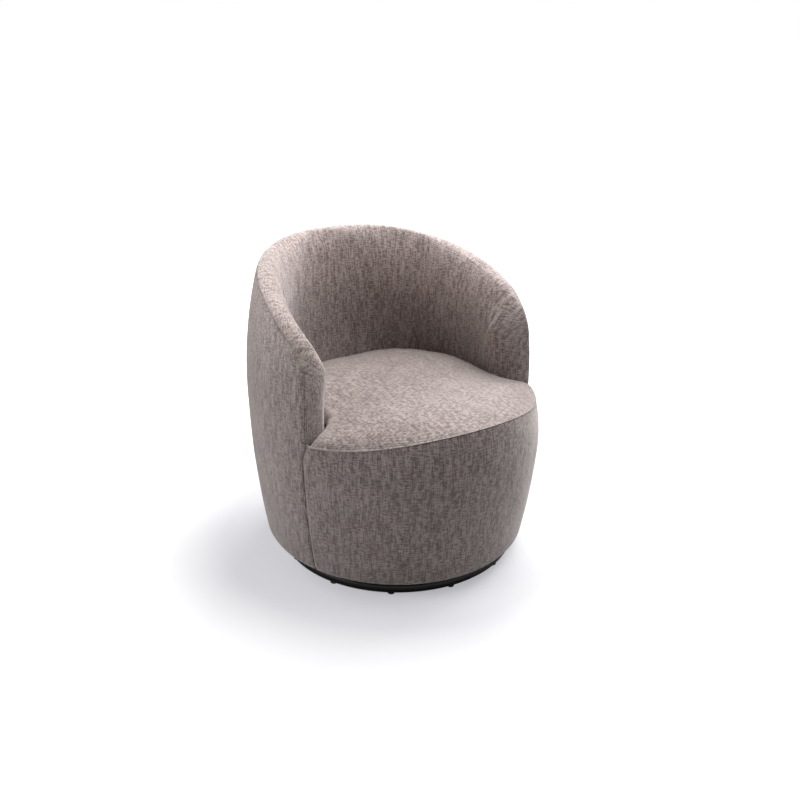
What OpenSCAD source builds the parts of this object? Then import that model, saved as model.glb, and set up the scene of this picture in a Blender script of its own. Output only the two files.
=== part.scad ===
// Swivel barrel armchair: an oval upholstered shell with a falling rim, a tight seat and a ring
// base, turning on a ball race. Front is -Y, the sitter's left is +X and the floor is z = 0.
// Angles are taken from the front, positive towards +X; a "back angle" is taken from the back.

/* [Shell] */
// Half width of the shell at its widest height
belly_r = 319; // [305:1:335]
// Height of the widest part
belly_z = 370; // [350:5:390]
// How far the sides draw in at the hem
foot_draw = 25; // [15:1:35]
// How far the sides draw in at the rim
top_draw = 41; // [30:1:50]
// Depth of the plan over its width at the hem
hem_ratio = 1.04; // [1.0:0.01:1.08]
// Depth of the plan over its width at the rim
rim_ratio = 1.207; // [1.15:0.001:1.22]
// Height of the hem above the floor
hem_z = 38; // [36:0.5:38.5]
// Height of the outer rim seam at the back
rim_z = 658; // [640:1:680]
// Fall of the rim seam between the back and the arm
rim_fall = 92; // [80:1:105]
// Thickness of the upholstered wall
wall_t = 90; // [84:1:100]
// Thickness of the wall under the rim. It thickens from there down to the seat.
rim_wall = 60; // [56:1:80]

/* [Arms] */
// Angle from the front at which an arm ends
arm_angle = 68; // [64:0.5:72]
// Arc that the rounded front corner of an arm takes, in degrees
corner_arc = 12.6; // [10:0.2:15]
// Drop of the rounded front corner of an arm
corner_drop = 50; // [40:1:60]
// How far the padded roll rises above the rim seam
roll_rise = 20; // [14:1:24]
// How far the padded roll stands out of an arm's front face
front_rise = 3; // [1:0.5:4]
// Back angle of the two seams between the back pad and the arm pads
inner_seam_angle = 49; // [44:0.5:54]

/* [Seat] */
// Height of the front seam at the middle of the seat
seam_mid_z = 401; // [395:1:410]
// Height of the front seam at the foot of each arm
seam_foot_z = 352; // [344:1:358]
// How far the front seam lies in from the shell's outline at its middle
seam_inset = 20; // [12:1:24]
// Height over which the front panel bends in to its seam
panel_bend = 110; // [85:5:140]
// Height of the seat's crown at its middle
crown_z = 414; // [410:1:420]
// Fall of the seat's top from its crown to each side
side_fall = 26; // [20:1:34]
// Fall of the seat's top from its crown to the back
back_fall = 58; // [45:1:66]
// Fall of the seat's top from its crown to the front seam
front_fall = 6; // [3:1:9]
// How far the seat's top tucks down at its joint with the wall
tuck = 8; // [4:1:12]
// Width of the roll above the front seam
front_roll = 45; // [30:1:60]
// Width of the roll at the joint with the wall
back_roll = 26; // [16:1:34]

/* [Base] */
// Radius of the base ring to the middle of its tube
ring_r = 257; // [250:1:264]
// Diameter of the ring's tube
ring_tube_d = 25; // [22:0.5:26]
// Wall of the ring's tube
ring_wall = 2; // [1.5:0.1:3]
// Height of a glide
glide_h = 3; // [2.5:0.5:5]
// Diameter of a glide
glide_d = 16; // [14:1:20]
// Number of glides
glide_count = 12; // [8:1:16]
// Angle of the first glide from the front
glide_phase = 23; // [0:1:44]
// Width of a cross tube
cross_w = 32; // [28:1:36]
// Height of a cross tube
cross_h = 20; // [18:0.5:21]
// Wall of a cross tube
cross_wall = 2; // [1.5:0.1:2.5]

/* [Swivel] */
// Distance of the swivel axis in front of the shell's middle
swivel_forward = 17; // [0:1:24]
// Side of the square swivel plates
plate_w = 220; // [210:1:240]
// Thickness of a swivel plate
plate_t = 2.5; // [2:0.1:3]
// Distance of the lower bolts from the plates' edges
lower_bolt_inset = 12; // [10:1:16]
// Distance of the upper bolts from the plates' edges
upper_bolt_inset = 25; // [22:1:30]
// Radius of the ball race
race_r = 70; // [64:1:74]
// Diameter of a ball
ball_d = 7; // [6:0.5:8]
// Depth of a ball's groove in each plate
groove_depth = 1; // [0.8:0.05:1.2]
// Number of balls
ball_count = 24; // [18:1:30]
// Radius of the pivot's stem
pivot_r = 12; // [10:0.5:14]
// Radius of the pivot's bore
pivot_bore_r = 8; // [6:0.5:8.5]
// Radius of a bolt
bolt_r = 3; // [2.5:0.25:3.5]

/* [Frame] */
// Thickness of the bottom board
board_t = 15; // [12:0.5:18]
// Thickness of the seat rail hoop
rail_t = 18; // [15:0.5:21]
// Height of the seat rail hoop's underside
rail_z = 236; // [228:1:244]
// Thickness of a plywood rib
rib_t = 18; // [12:1:21]
// Depth of a rib across the wall
rib_depth = 33; // [26:1:34]
// Height of the bent rail under the rim
rim_rail_h = 20; // [16:1:26]
// Thickness of an arm's front post
post_t = 28; // [22:1:32]
// Diameter of the wire of a seat spring
wire_d = 3.4; // [3:0.1:4]
// Number of seat springs
spring_count = 5; // [4:1:6]
// Spacing of the seat springs
spring_gap = 56; // [48:1:58]

/* [Covers] */
// Thickness of the padded outer cover
cover_t = 6; // [4:0.5:7]
// Thickness of the hardboard lining
lining_t = 3; // [2:0.5:3.5]
// Thickness of the padding that lies over the frame on the inside
pad_t = 40; // [34:1:42]
// Thickness of the seat cover
seat_cover_t = 4; // [3:0.5:5]

/* [Hidden] */
$fn = 96;

fabric = [0.57, 0.52, 0.50];
foam = [0.93, 0.88, 0.70];
plywood = [0.80, 0.66, 0.46];
black = [0.07, 0.07, 0.08];
steel = [0.66, 0.67, 0.69];

// Clearances
fit = 0.08;           // running clearance of the pivot and the cage
ball_fit = 0.05;      // clearance of a ball in its groove
soft_gap = 0.8;       // between two soft pieces that are sewn together
hard_gap = 0.3;       // between a soft piece and what carries it
facet_gap = 1.6;      // between two curved pieces, whose facets differ
arm_gap = 5;          // between an arm's front plane and the side of the seat

// Heights of the base and the swivel. The swivel hangs from the board over the hem, and the cross
// tubes carry it.
dust_t = 0.9;
ring_z = glide_h + ring_tube_d/2;
board_z = hem_z + dust_t + 2*hard_gap;
upper_z = board_z - plate_t;
ball_z = upper_z - ball_d/2 + groove_depth;
lower_top = ball_z - ball_d/2 + groove_depth;
cross_top = lower_top - plate_t;
board_top = board_z + board_t;
rail_top = rail_z + rail_t;
clip_h = wire_d + 2.4;
spring_pad_z = rail_top + clip_h + hard_gap;
spring_pad_t = 4;
foam_z = spring_pad_z + spring_pad_t + hard_gap;
pad_foot_z = foam_z + 2;
head_h = 3;
head_r = bolt_r*2.1;
lower_bolt_r = plate_w/2 - lower_bolt_inset;
upper_bolt_xy = plate_w/2 - upper_bolt_inset;
plate_corner = 10;     // length cut off each corner, along the diagonal

// Depths of the layers of the wall, from the outside in
lining_out = cover_t + facet_gap;
lining_in = lining_out + lining_t;
rib_in = lining_in + facet_gap;
rib_out = rib_in + rib_depth;
frame_out = wall_t - pad_t;
arm_back = 180 - arm_angle;
corner_start = arm_back - corner_arc;

// The shell: a plan that is near round at the hem and oval at the rim
function hull_ratio(z) = hem_ratio + (rim_ratio - hem_ratio)*(z - hem_z)/(rim_z - hem_z);
function hull_side(z) = z < belly_z
    ? belly_r - foot_draw*pow((belly_z - z)/(belly_z - hem_z), 2.2)
    : belly_r - top_draw*pow((z - belly_z)/(rim_z - belly_z), 2);
function hull_radius(angle, z) =
    hull_side(z)/sqrt(pow(cos(angle)/hull_ratio(z), 2) + pow(sin(angle), 2));
function polar(angle, r, z) = [r*sin(angle), -r*cos(angle), z];
function on_hull(angle, z, depth) = polar(angle, hull_radius(angle, z) - depth, z);
function mix(a, b, t) = a + (b - a)*t;
function clamp(x) = max(0, min(1, x));
function arc_angle(length, r) = length/r*180/PI;

// The rim seam as [back angle, height]: a long fall, a rounded corner and the arm's front edge.
// t runs from 0 at the back over 1 where the corner starts and 2 where it ends to 3 at the foot.
function long_fall(a) = rim_z - rim_fall*pow(abs(a)/100, 2.85);
function corner_end_z() = long_fall(arm_back) - corner_drop;
function rim_path(t) = t <= 1
    ? [corner_start*t, long_fall(corner_start*t)]
    : t <= 2
        ? let (q = 90*(t - 1), a = corner_start + corner_arc*pow(sin(q), 0.91))
            [a, long_fall(a) - corner_drop*(1 - cos(q))]
        : [arm_back, mix(corner_end_z(), pad_foot_z, t - 2)];
// Unit normal of the rim seam on the unrolled shell, as [towards the arm's front, up]
function rim_normal(t) = let (
    e = 0.02,
    p = rim_path(max(0, t - e)),
    q = rim_path(min(3, t + e)),
    run = (q[0] - p[0])*PI/180*belly_r,
    rise = q[1] - p[1],
    l = norm([run, rise])) [-rise/l, run/l];
// A point of the wall near the rim: n across the seam, outwards, and depth into the wall
function rim_place(t, n) = let (
    p = rim_path(t),
    m = rim_normal(t))
    [p[0] + arc_angle(n*m[0], hull_radius(180 - p[0], p[1])), p[1] + n*m[1]];
function rim_point(t, n, depth, side) = let (p = rim_place(t, n)) on_hull(side*(180 - p[0]), p[1], depth);
// The points of a pad's face below the roll, down to its foot. The face leans: its depth goes from
// that under the roll to that at the seat.
function wall_points(t, top_depth, seat_depth, side, foot) = let (p = rim_place(t, -roll_depth))
    [for (f = [0.3, 0.55, 0.75, 1]) let (
        z = mix(p[1], pad_foot_z, f),
        lean = clamp((p[1] - z)/(p[1] - seam_foot_z - lean_end)))
        on_hull(side*(180 - mix(p[0], foot, f)), z, mix(top_depth, seat_depth, lean))];
lean_end = 14;          // height of the lean's end above the seat's lowest seam

// How far the pads tuck in behind the rim seam
rim_tuck = 12;
// The padded roll over the rim, from the rim seam (q = 0) over its crest to the inner face (q = 1):
// its height across the seam, and its depth into the wall
roll_depth = 45;
function roll_n(q, rise) = rise*sin(180*pow(q, 0.9)) - roll_depth*pow(q, 4.5);
function roll_in(q, thick) = thick*(1 - pow(1 - q, 1.7));
// The wall under the roll keeps its thin top round to the front corner and thickens down the front
function roll_wall(t) = mix(rim_wall, wall_t, clamp((t - 1.2)/0.8));
function pad_back(t) = min(frame_out, roll_wall(t) - rim_pad_t);
rim_pad_t = 8;          // least padding between the frame and the roll's inner face
roll_steps = 8;

// A solid between two grids of points with the same rows and columns. Seen from the first grid's
// side, its rows run to the right and its columns up.
module slab(near, far) {
    rows = len(near);
    cols = len(near[0]);
    size = rows*cols;
    function at(i, j) = i*cols + j;
    points = [for (g = [near, far]) for (row = g) for (p = row) p];
    face_pairs = [for (i = [0:rows - 2]) for (j = [0:cols - 2])
        [at(i, j), at(i, j + 1), at(i + 1, j + 1), at(i + 1, j)]];
    border = concat(
        [for (j = [0:cols - 2]) [at(0, j), at(0, j + 1)]],
        [for (i = [0:rows - 2]) [at(i, cols - 1), at(i + 1, cols - 1)]],
        [for (j = [cols - 1:-1:1]) [at(rows - 1, j), at(rows - 1, j - 1)]],
        [for (i = [rows - 1:-1:1]) [at(i, 0), at(i - 1, 0)]]);
    faces = concat(
        [for (f = face_pairs) [f[0], f[1], f[2]]],
        [for (f = face_pairs) [f[0], f[2], f[3]]],
        [for (f = face_pairs) [f[2] + size, f[1] + size, f[0] + size]],
        [for (f = face_pairs) [f[3] + size, f[2] + size, f[0] + size]],
        [for (b = border) [b[1], b[0], b[0] + size]],
        [for (b = border) [b[1], b[0] + size, b[1] + size]]);
    polyhedron(points, faces);
}

// A solid closed round the z axis, from a top pole down a stack of rings to a bottom pole
module pod(top, rings, bottom) {
    n = len(rings[0]);
    last = len(rings) - 1;
    function at(i, j) = 1 + i*n + j%n;
    points = concat([top], [for (ring = rings) for (p = ring) p], [bottom]);
    end = len(points) - 1;
    faces = concat(
        [for (j = [0:n - 1]) [0, at(0, j + 1), at(0, j)]],
        [for (i = [0:last - 1]) for (j = [0:n - 1]) [at(i, j), at(i, j + 1), at(i + 1, j + 1)]],
        [for (i = [0:last - 1]) for (j = [0:n - 1]) [at(i, j), at(i + 1, j + 1), at(i + 1, j)]],
        [for (j = [0:n - 1]) [at(last, j), at(last, j + 1), end]]);
    polyhedron(points, faces);
}

// The plan of the shell at a height, drawn in by a depth
module plan(z, depth, steps = 72)
    polygon([for (i = [0:steps - 1]) let (p = on_hull(i*360/steps, z, depth)) [p[0], p[1]]]);

// Base
module on_axis() translate([0, -swivel_forward, 0]) children();
module ring_solid(grow = 0)
    translate([0, 0, ring_z]) rotate_extrude() translate([ring_r, 0])
        circle(d = ring_tube_d + 2*grow, $fn = 48);
module at_glides()
    for (i = [0:glide_count - 1]) rotate(i*360/glide_count + glide_phase) translate([0, -ring_r, 0])
        children();
stem_r = 3.5;
module base_ring()
    color(black) difference() {
        ring_solid();
        ring_solid(-ring_wall);
        at_glides() cylinder(r = stem_r + fit, h = ring_z, $fn = 32);
    }
module glide_feet()
    color(black) at_glides() {
        difference() {
            union() {
                cylinder(d1 = glide_d - 3, d2 = glide_d, h = 1.5, $fn = 32);
                translate([0, 0, 1.5]) cylinder(d = glide_d, h = glide_h - 0.5, $fn = 32);
            }
            translate([0, ring_r, 0]) ring_solid(fit);
        }
        translate([0, 0, glide_h - 1]) cylinder(r = stem_r, h = ring_wall + 5, $fn = 32);
    }
module bolt_ring(radius)
    for (i = [0:3]) rotate(i*90) translate([radius, 0, 0]) children();
module tube_box(length, wide, high, wall)
    difference() {
        translate([0, -wide/2, 0]) cube([length, wide, high]);
        translate([-1, -wide/2 + wall, wall]) cube([length + 2, wide - 2*wall, high - 2*wall]);
    }
module cross_tube()
    color(black) difference() {
        translate([-ring_r, 0, cross_top - cross_h]) tube_box(2*ring_r, cross_w, cross_h, cross_wall);
        ring_solid(fit);
        bolt_ring(lower_bolt_r) translate([0, 0, cross_top - cross_h - 1])
            cylinder(r = bolt_r + fit, h = cross_h + 2, $fn = 32);
    }
module cross_stubs()
    color(black) for (s = [-1, 1]) difference() {
        rotate(s*90) translate([cross_w/2, 0, cross_top - cross_h])
            tube_box(ring_r - cross_w/2, cross_w, cross_h, cross_wall);
        ring_solid(fit);
        bolt_ring(lower_bolt_r) translate([0, 0, cross_top - cross_h - 1])
            cylinder(r = bolt_r + fit, h = cross_h + 2, $fn = 32);
    }

// Swivel
module plate_blank()
    linear_extrude(plate_t) difference() {
        square(plate_w, center = true);
        for (i = [0:3]) rotate(i*90) translate([plate_w/2, plate_w/2]) rotate(45)
            square([2*plate_corner, 4*plate_corner], center = true);
    }
module race()
    translate([0, 0, ball_z]) rotate_extrude() translate([race_r, 0])
        circle(r = ball_d/2 + ball_fit, $fn = 48);
module lower_swivel_plate()
    color(steel) difference() {
        translate([0, 0, cross_top]) plate_blank();
        race();
        bolt_ring(lower_bolt_r) translate([0, 0, cross_top - 1])
            cylinder(r = bolt_r + fit, h = plate_t + 2, $fn = 32);
        translate([0, 0, cross_top - 1]) cylinder(r = pivot_bore_r, h = plate_t + 2);
    }
module lower_plate_bolts()
    color(steel) bolt_ring(lower_bolt_r) {
        translate([0, 0, lower_top]) cylinder(r = head_r, h = head_h, $fn = 32);
        translate([0, 0, cross_top - cross_h - 2*head_h]) cylinder(r = bolt_r,
            h = cross_h + plate_t + 2*head_h, $fn = 32);
    }
module lower_plate_nuts()
    color(steel) bolt_ring(lower_bolt_r) translate([0, 0, cross_top - cross_h - bolt_r*1.6])
        difference() {
            cylinder(r = head_r*0.95, h = bolt_r*1.6, $fn = 6);
            translate([0, 0, -1]) cylinder(r = bolt_r + fit, h = bolt_r*1.6 + 2, $fn = 32);
        }
collar_h = 2;
pivot_head_h = 2;
pivot_head_r = pivot_r + 5;
module swivel_pivot()
    color(steel) difference() {
        union() {
            translate([0, 0, lower_top]) cylinder(r = pivot_r + 6, h = collar_h);
            translate([0, 0, lower_top]) cylinder(r = pivot_r, h = board_z + hard_gap - lower_top);
            translate([0, 0, board_z + hard_gap]) cylinder(r = pivot_head_r, h = pivot_head_h);
        }
        translate([0, 0, lower_top - 1]) cylinder(r = pivot_bore_r, h = 40);
    }
cage_t = 2;
cage_half = ball_d/2 + 4;
module ball_cage()
    color(steel) translate([0, 0, ball_z - cage_t/2]) difference() {
        cylinder(r = race_r + cage_half, h = cage_t);
        translate([0, 0, -1]) cylinder(r = race_r - cage_half, h = cage_t + 2);
        for (i = [0:ball_count - 1]) rotate(i*360/ball_count) translate([race_r, 0, -1])
            cylinder(r = ball_d/2 + fit, h = cage_t + 2, $fn = 32);
    }
module bearing_balls()
    color(steel) for (i = [0:ball_count - 1]) rotate(i*360/ball_count)
        translate([race_r, 0, ball_z]) sphere(d = ball_d, $fn = 24);
module at_upper_bolts()
    for (x = [-1, 1], y = [-1, 1]) translate([x*upper_bolt_xy, y*upper_bolt_xy, 0]) children();
module upper_swivel_plate()
    color(steel) difference() {
        translate([0, 0, upper_z]) plate_blank();
        race();
        at_upper_bolts() translate([0, 0, upper_z - 1])
            cylinder(r = bolt_r + fit, h = plate_t + 2, $fn = 32);
        translate([0, 0, upper_z - 1]) cylinder(r = pivot_r + fit, h = plate_t + 2);
    }
module upper_plate_bolts()
    color(steel) at_upper_bolts() {
        translate([0, 0, upper_z - head_h]) cylinder(r = head_r, h = head_h, $fn = 32);
        translate([0, 0, upper_z]) cylinder(r = bolt_r, h = board_top - upper_z, $fn = 32);
    }
tee_barrel_r = bolt_r + 1.6;
module tee_nuts()
    color(steel) at_upper_bolts() difference() {
        union() {
            translate([0, 0, board_top]) cylinder(r = bolt_r*3.2, h = 1.4, $fn = 32);
            translate([0, 0, board_top - 9]) cylinder(r = tee_barrel_r, h = 9.5, $fn = 32);
        }
        translate([0, 0, board_top - 10]) cylinder(r = bolt_r + fit, h = 20, $fn = 32);
    }

// Frame
hub_hole_r = pivot_head_r + 12;
module bottom_board()
    color(plywood) difference() {
        translate([0, 0, board_z]) linear_extrude(board_t) plan(hem_z, lining_in + hard_gap);
        on_axis() translate([0, 0, board_z - 1]) cylinder(r = hub_hole_r, h = board_t + 2);
        on_axis() at_upper_bolts() translate([0, 0, board_z - 1])
            cylinder(r = tee_barrel_r + fit, h = board_t + 2, $fn = 32);
    }
hem_turn = 22;
module dust_cover()
    color(black) translate([0, 0, hem_z + hard_gap]) linear_extrude(dust_t)
        difference() {
            plan(hem_z, lining_in + hem_turn);
            on_axis() square(plate_w + 8, center = true);
        }
// A rib in the radial plane at an angle, between two heights, following the shell. Its radius is the
// least that the shell has across the rib's thickness.
module rib(angle, low, high, thick, depth_in, depth_out, steps = 10) {
    half = arc_angle(thick/2, belly_r);
    function face(z) = min(hull_radius(angle - half, z), hull_radius(angle + half, z));
    rotate(angle - 90) rotate([90, 0, 0]) linear_extrude(thick, center = true) polygon(concat(
        [for (i = [0:steps]) let (z = mix(low, high, i/steps)) [face(z) - depth_in, z]],
        [for (i = [steps:-1:0]) let (z = mix(low, high, i/steps)) [face(z) - depth_out, z]]));
}
lower_rib_count = 12;
module lower_ribs()
    color(plywood) for (i = [0:lower_rib_count - 1])
        rib((i + 0.5)*360/lower_rib_count, board_top, rail_z, rib_t, rib_in + 2, rib_out, 6);
module seat_rail()
    color(plywood) translate([0, 0, rail_z]) linear_extrude(rail_t) difference() {
        plan(rail_z, rib_in);
        plan(rail_z, rail_out);
    }
rail_out = wall_t - 4;
front_rail_h = 62;
front_rail_t = 18;
front_rail_in = rib_in + 6;
front_rail_span = arm_angle - 8;
module front_rail()
    color(plywood) translate([0, 0, rail_top]) linear_extrude(front_rail_h) polygon(concat(
        [for (i = [0:24]) let (p = on_hull(mix(-1, 1, i/24)*front_rail_span, rail_top, front_rail_in)) [p[0], p[1]]],
        [for (i = [24:-1:0]) let (p = on_hull(mix(-1, 1, i/24)*front_rail_span, rail_top, front_rail_in + front_rail_t)) [p[0], p[1]]]));
rim_rail_top = rim_tuck + 3*facet_gap;
module upper_rib(back_angle)
    rib(180 - back_angle, rail_top, long_fall(back_angle) - rim_rail_top - rim_rail_h - rim_drop(back_angle),
        rib_t, rib_in, rib_out, 12);
// How far the low side of a rib's top lies under its middle, where the rim slopes
function rim_drop(a) = abs(long_fall(abs(a) + 2) - long_fall(abs(a))) + hard_gap;
module back_ribs()
    color(plywood) for (i = [-2:2]) upper_rib(i*22);
module left_arm_ribs()
    color(plywood) for (a = [66, 88]) upper_rib(a);
module right_arm_ribs()
    color(plywood) for (a = [66, 88]) upper_rib(-a);
post_inset = 16;
post_angle = arm_angle + arc_angle(post_inset + post_t/2, belly_r);
post_top = corner_end_z() + 4;
module left_arm_post()
    color(plywood) rib(post_angle, rail_top, post_top, post_t, rib_in, rib_out, 8);
module right_arm_post()
    color(plywood) rib(-post_angle, rail_top, post_top, post_t, rib_in, rib_out, 8);
// The bent rail under the rim between two back angles
module rim_rail(from, to, steps)
    slab(
        [for (i = [0:steps]) let (a = mix(from, to, i/steps), z = long_fall(a) - rim_rail_top)
            [for (q = [0, 1]) on_hull(180 - a, z - q*rim_rail_h, rib_in)]],
        [for (i = [0:steps]) let (a = mix(from, to, i/steps), z = long_fall(a) - rim_rail_top)
            [for (q = [0, 1]) on_hull(180 - a, z - q*rim_rail_h, rib_out)]]);
rail_joint = 55;       // back angle at which the side rails start
rail_end = 100;        // and at which they end
rail_gap = 0.1;        // joint between two rails, in degrees
module back_rim_rail()
    color(plywood) rim_rail(-rail_joint, rail_joint, 20);
module left_rim_rail()
    color(plywood) rim_rail(rail_joint + rail_gap, rail_end, 10);
module right_rim_rail()
    color(plywood) rim_rail(-rail_end, -rail_joint - rail_gap, 10);

// The hardboard skin on the ribs. Its edge stays clear of the pads, which tuck in behind the rim seam.
lining_back = arc_angle(rim_tuck + facet_gap, belly_r);
module outer_lining()
    color([0.55, 0.42, 0.28]) slab(lining_grid(lining_in), lining_grid(lining_out));
function lining_top(a) = cover_top(min(a + lining_back, arm_back)) - rim_tuck - facet_gap;
function lining_grid(depth) = [for (i = [0:cover_steps]) let (a = spread(i, cover_steps)*(arm_back - lining_back))
    [for (j = [0:10]) on_hull(180 - a, mix(board_z, lining_top(abs(a)), j/10), depth)]];
module front_lining()
    color([0.55, 0.42, 0.28]) slab(front_lining_grid(lining_out), front_lining_grid(lining_in));
front_lining_top = rail_top + front_rail_h - 6;
function front_lining_grid(depth) = [for (i = [0:22]) let (a = mix(-1, 1, i/22)*(arm_angle - 3))
    [for (j = [0:6]) let (z = mix(board_z, front_lining_top, j/6)) on_hull(a, z, panel_depth(a, z) + depth)]];

// Seat suspension
wave = 31;
wave_half = 17;
function spring_y(x) = sqrt(1 - pow(x/(hull_side(rail_z) - rail_out), 2))*(hull_radius(0, rail_z) - rail_out);
function wave_x(y) = wave_half*sin(360*y/wave);
function wave_normal(y) = let (s = wave_half*2*PI/wave*cos(360*y/wave), l = sqrt(1 + s*s)) [1/l, -s/l];
module seat_spring(x) {
    reach = spring_y(abs(x) + wave_half) + 12;
    waves = floor(2*reach/wave);
    steps = waves*12;
    function side(i, s) = let (y = mix(-1, 1, i/steps)*waves*wave/2, m = wave_normal(y))
        [x + wave_x(y) + s*wire_d/2*m[0], y + s*wire_d/2*m[1]];
    translate([0, 0, rail_top + 1.2]) linear_extrude(wire_d) polygon(concat(
        [for (i = [0:steps]) side(i, -1)],
        [for (i = [steps:-1:0]) side(i, 1)]));
}
function spring_end(x) = floor(2*(spring_y(abs(x) + wave_half) + 12)/wave)*wave/2;
function spring_x(i) = (i - (spring_count - 1)/2)*spring_gap;
module seat_springs()
    color(steel) for (i = [0:spring_count - 1]) seat_spring(spring_x(i));
clip_w = 14;
clip_l = 22;
module spring_clips()
    color(steel) for (i = [0:spring_count - 1], s = [-1, 1]) translate([spring_x(i), s*(spring_end(spring_x(i)) + clip_l/2 - 9), rail_top])
        difference() {
            translate([-clip_w/2, -clip_l/2, 0]) cube([clip_w, clip_l, clip_h]);
            translate([-clip_w/2 - 1, -clip_l/2 - 1, 1]) cube([clip_w + 2, clip_l - 1, wire_d + 0.4]);
        }
module spring_pad()
    color([0.35, 0.34, 0.33]) translate([0, 0, spring_pad_z]) linear_extrude(spring_pad_t)
        plan(rail_z, wall_t + 2);

// Seat. The edge of the seat follows the front seam between the arms and the inner wall behind.
function front_seam_z(a) = mix(seam_foot_z, seam_mid_z, pow(cos(90*min(1, abs(a)/arm_angle)), 2.02));
// The seam's inset, which fades out towards the arms
function seam_in(a) = seam_inset*(1 - pow(min(1, abs(a)/arm_angle), 3));
// Depth of the wall's inner face at a length behind the arm's front plane, over the roll
function wall_face(length) = roll_in(clamp(pow((max(0, length) + front_rise)/roll_depth, 1/4.5)), wall_t);
// The edge's stations: across the front, round the inner corner of each arm, and round the back
seat_steps_front = 20;
seat_steps_back = 24;
seat_front_end = arm_angle - arc_angle(arm_gap + 2, belly_r);
corner_lengths = [-arm_gap, 0, 6, 14, 28];
corner_angles = [for (length = corner_lengths) arm_angle + arc_angle(length, belly_r)];
side_start = corner_angles[4];
seat_angles = concat(
    [for (i = [0:seat_steps_front]) mix(-1, 1, i/seat_steps_front)*seat_front_end],
    corner_angles,
    [for (i = [1:seat_steps_back - 1]) mix(side_start, 360 - side_start, i/seat_steps_back)],
    [for (i = [4:-1:0]) 360 - corner_angles[i]]);
function turn(a) = a > 180 ? a - 360 : a;
function is_front(a) = abs(turn(a)) < arm_angle - arc_angle(arm_gap + 1, belly_r);
// The crowned top: it falls to the sides and more to the back, and a little to the front
function crown(p) =
    crown_z - side_fall*pow(abs(p[0])/side_reach, 2.3)
    - (p[1] > 0 ? back_fall*pow(p[1]/back_reach, 2.2) : front_fall*pow(p[1]/front_reach, 2));
side_reach = belly_r - wall_t - 12;
back_reach = side_reach + 53;
front_reach = side_reach + 109;
function edge_depth(a) = is_front(a)
    ? seam_in(turn(a))
    : wall_face((abs(turn(a)) - arm_angle)*PI/180*belly_r) + facet_gap;
function edge_r(a) = hull_radius(a, is_front(a) ? front_seam_z(turn(a)) : seam_foot_z) - edge_depth(a);
// How far the top rolls down to its edge: to the front seam, or into the joint with the wall
function edge_roll(a) = is_front(a) ? crown(polar(a, edge_r(a), 0)) - front_seam_z(turn(a)) : tuck;
function edge_z(a) = crown(polar(a, edge_r(a), 0)) - edge_roll(a);
// A ring's angles are even towards the crown and reach the edge's stations further out
function ring_angle(i, t) =
    mix(i*360/len(seat_angles) - seat_front_end, seat_angles[i], clamp((t - 0.3)/0.5));
function seat_point(i, t, drop) = let (
    a = seat_angles[i],
    r = edge_r(a),
    p = polar(ring_angle(i, t), r*t, 0),
    near = clamp(1 - r*(1 - t)/(is_front(a) ? front_roll : back_roll)))
    [p[0], p[1], crown(p) - edge_roll(a)*near*near - drop];
function seat_ring(t, drop) = [for (i = [0:len(seat_angles) - 1]) seat_point(i, t, drop)];
under = 0.975;        // the underside of the seat cover is this much smaller than its top
seat_rings = [0.2, 0.45, 0.65, 0.8, 0.88, 0.94, 0.975, 1];
module seat_cover()
    color(fabric) pod([0, 0, crown_z],
        concat(
            [for (t = seat_rings) seat_ring(t, 0)],
            [for (i = [len(seat_rings) - 1:-1:0]) seat_ring(seat_rings[i]*under, seat_cover_t)]),
        [0, 0, crown_z - seat_cover_t]);
foam_drop = seat_cover_t + facet_gap;
// The foam's side. Between the arms it steps out over the front rail; behind, it follows the wall.
foam_step_z = rail_top + front_rail_h + hard_gap;
function foam_top_z(a) = edge_z(a) - foam_drop - 10;
function foam_low(a) = is_front(a)
    ? hull_radius(a, rail_top) - front_rail_in - front_rail_t - 3
    : min(hull_radius(a, foam_z) - edge_depth(a) - facet_gap, edge_r(a) + 8);
function foam_high(a, z) = is_front(a)
    ? hull_radius(a, z) - panel_depth(a, z) - cover_t - facet_gap
    : min(hull_radius(a, z) - edge_depth(a) - facet_gap, edge_r(a) + 8);
module seat_foam()
    color(foam) pod([0, 0, crown_z - foam_drop],
        concat(
            [for (t = seat_rings) seat_ring(t*under, foam_drop)],
            [[for (a = seat_angles) polar(a, foam_high(a, foam_top_z(a)), foam_top_z(a))],
             [for (a = seat_angles) polar(a, foam_high(a, foam_step_z), foam_step_z)],
             [for (a = seat_angles) polar(a, foam_low(a), foam_step_z - 0.2)],
             [for (a = seat_angles) polar(a, foam_low(a), foam_z)]]),
        [0, 0, foam_z]);

// The front panel, drawn in at its top to meet the seat's front seam
function panel_depth(a, z) =
    seam_in(turn(a))*pow(clamp((z - front_seam_z(turn(a)) + panel_bend)/panel_bend), 2);
// The panel's ends stand clear of the arm pads, which bulge forward
panel_side_gap = 1.5;
panel_ease_low = 60;    // from this far below the pads' feet
panel_ease_h = 55;      // over this height the gap opens
function panel_end(z) = arm_angle - arc_angle(
    panel_side_gap + front_rise*clamp((z - pad_foot_z + panel_ease_low)/panel_ease_h), belly_r);
function panel_top(a, depth) = front_seam_z(a) - soft_gap - (depth > 0 ? seat_cover_t : 0);
function panel_grid(depth) = [for (i = [0:22]) let (s = mix(-1, 1, i/22))
    [for (j = [0:9]) let (
        z = mix(hem_z, panel_top(s*arm_angle, depth), 1 - pow(1 - j/9, 1.4)),
        a = s*panel_end(z))
        on_hull(a, z, panel_depth(a, z) + depth)]];
module front_panel()
    color(fabric) slab(panel_grid(0), panel_grid(cover_t));

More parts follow.
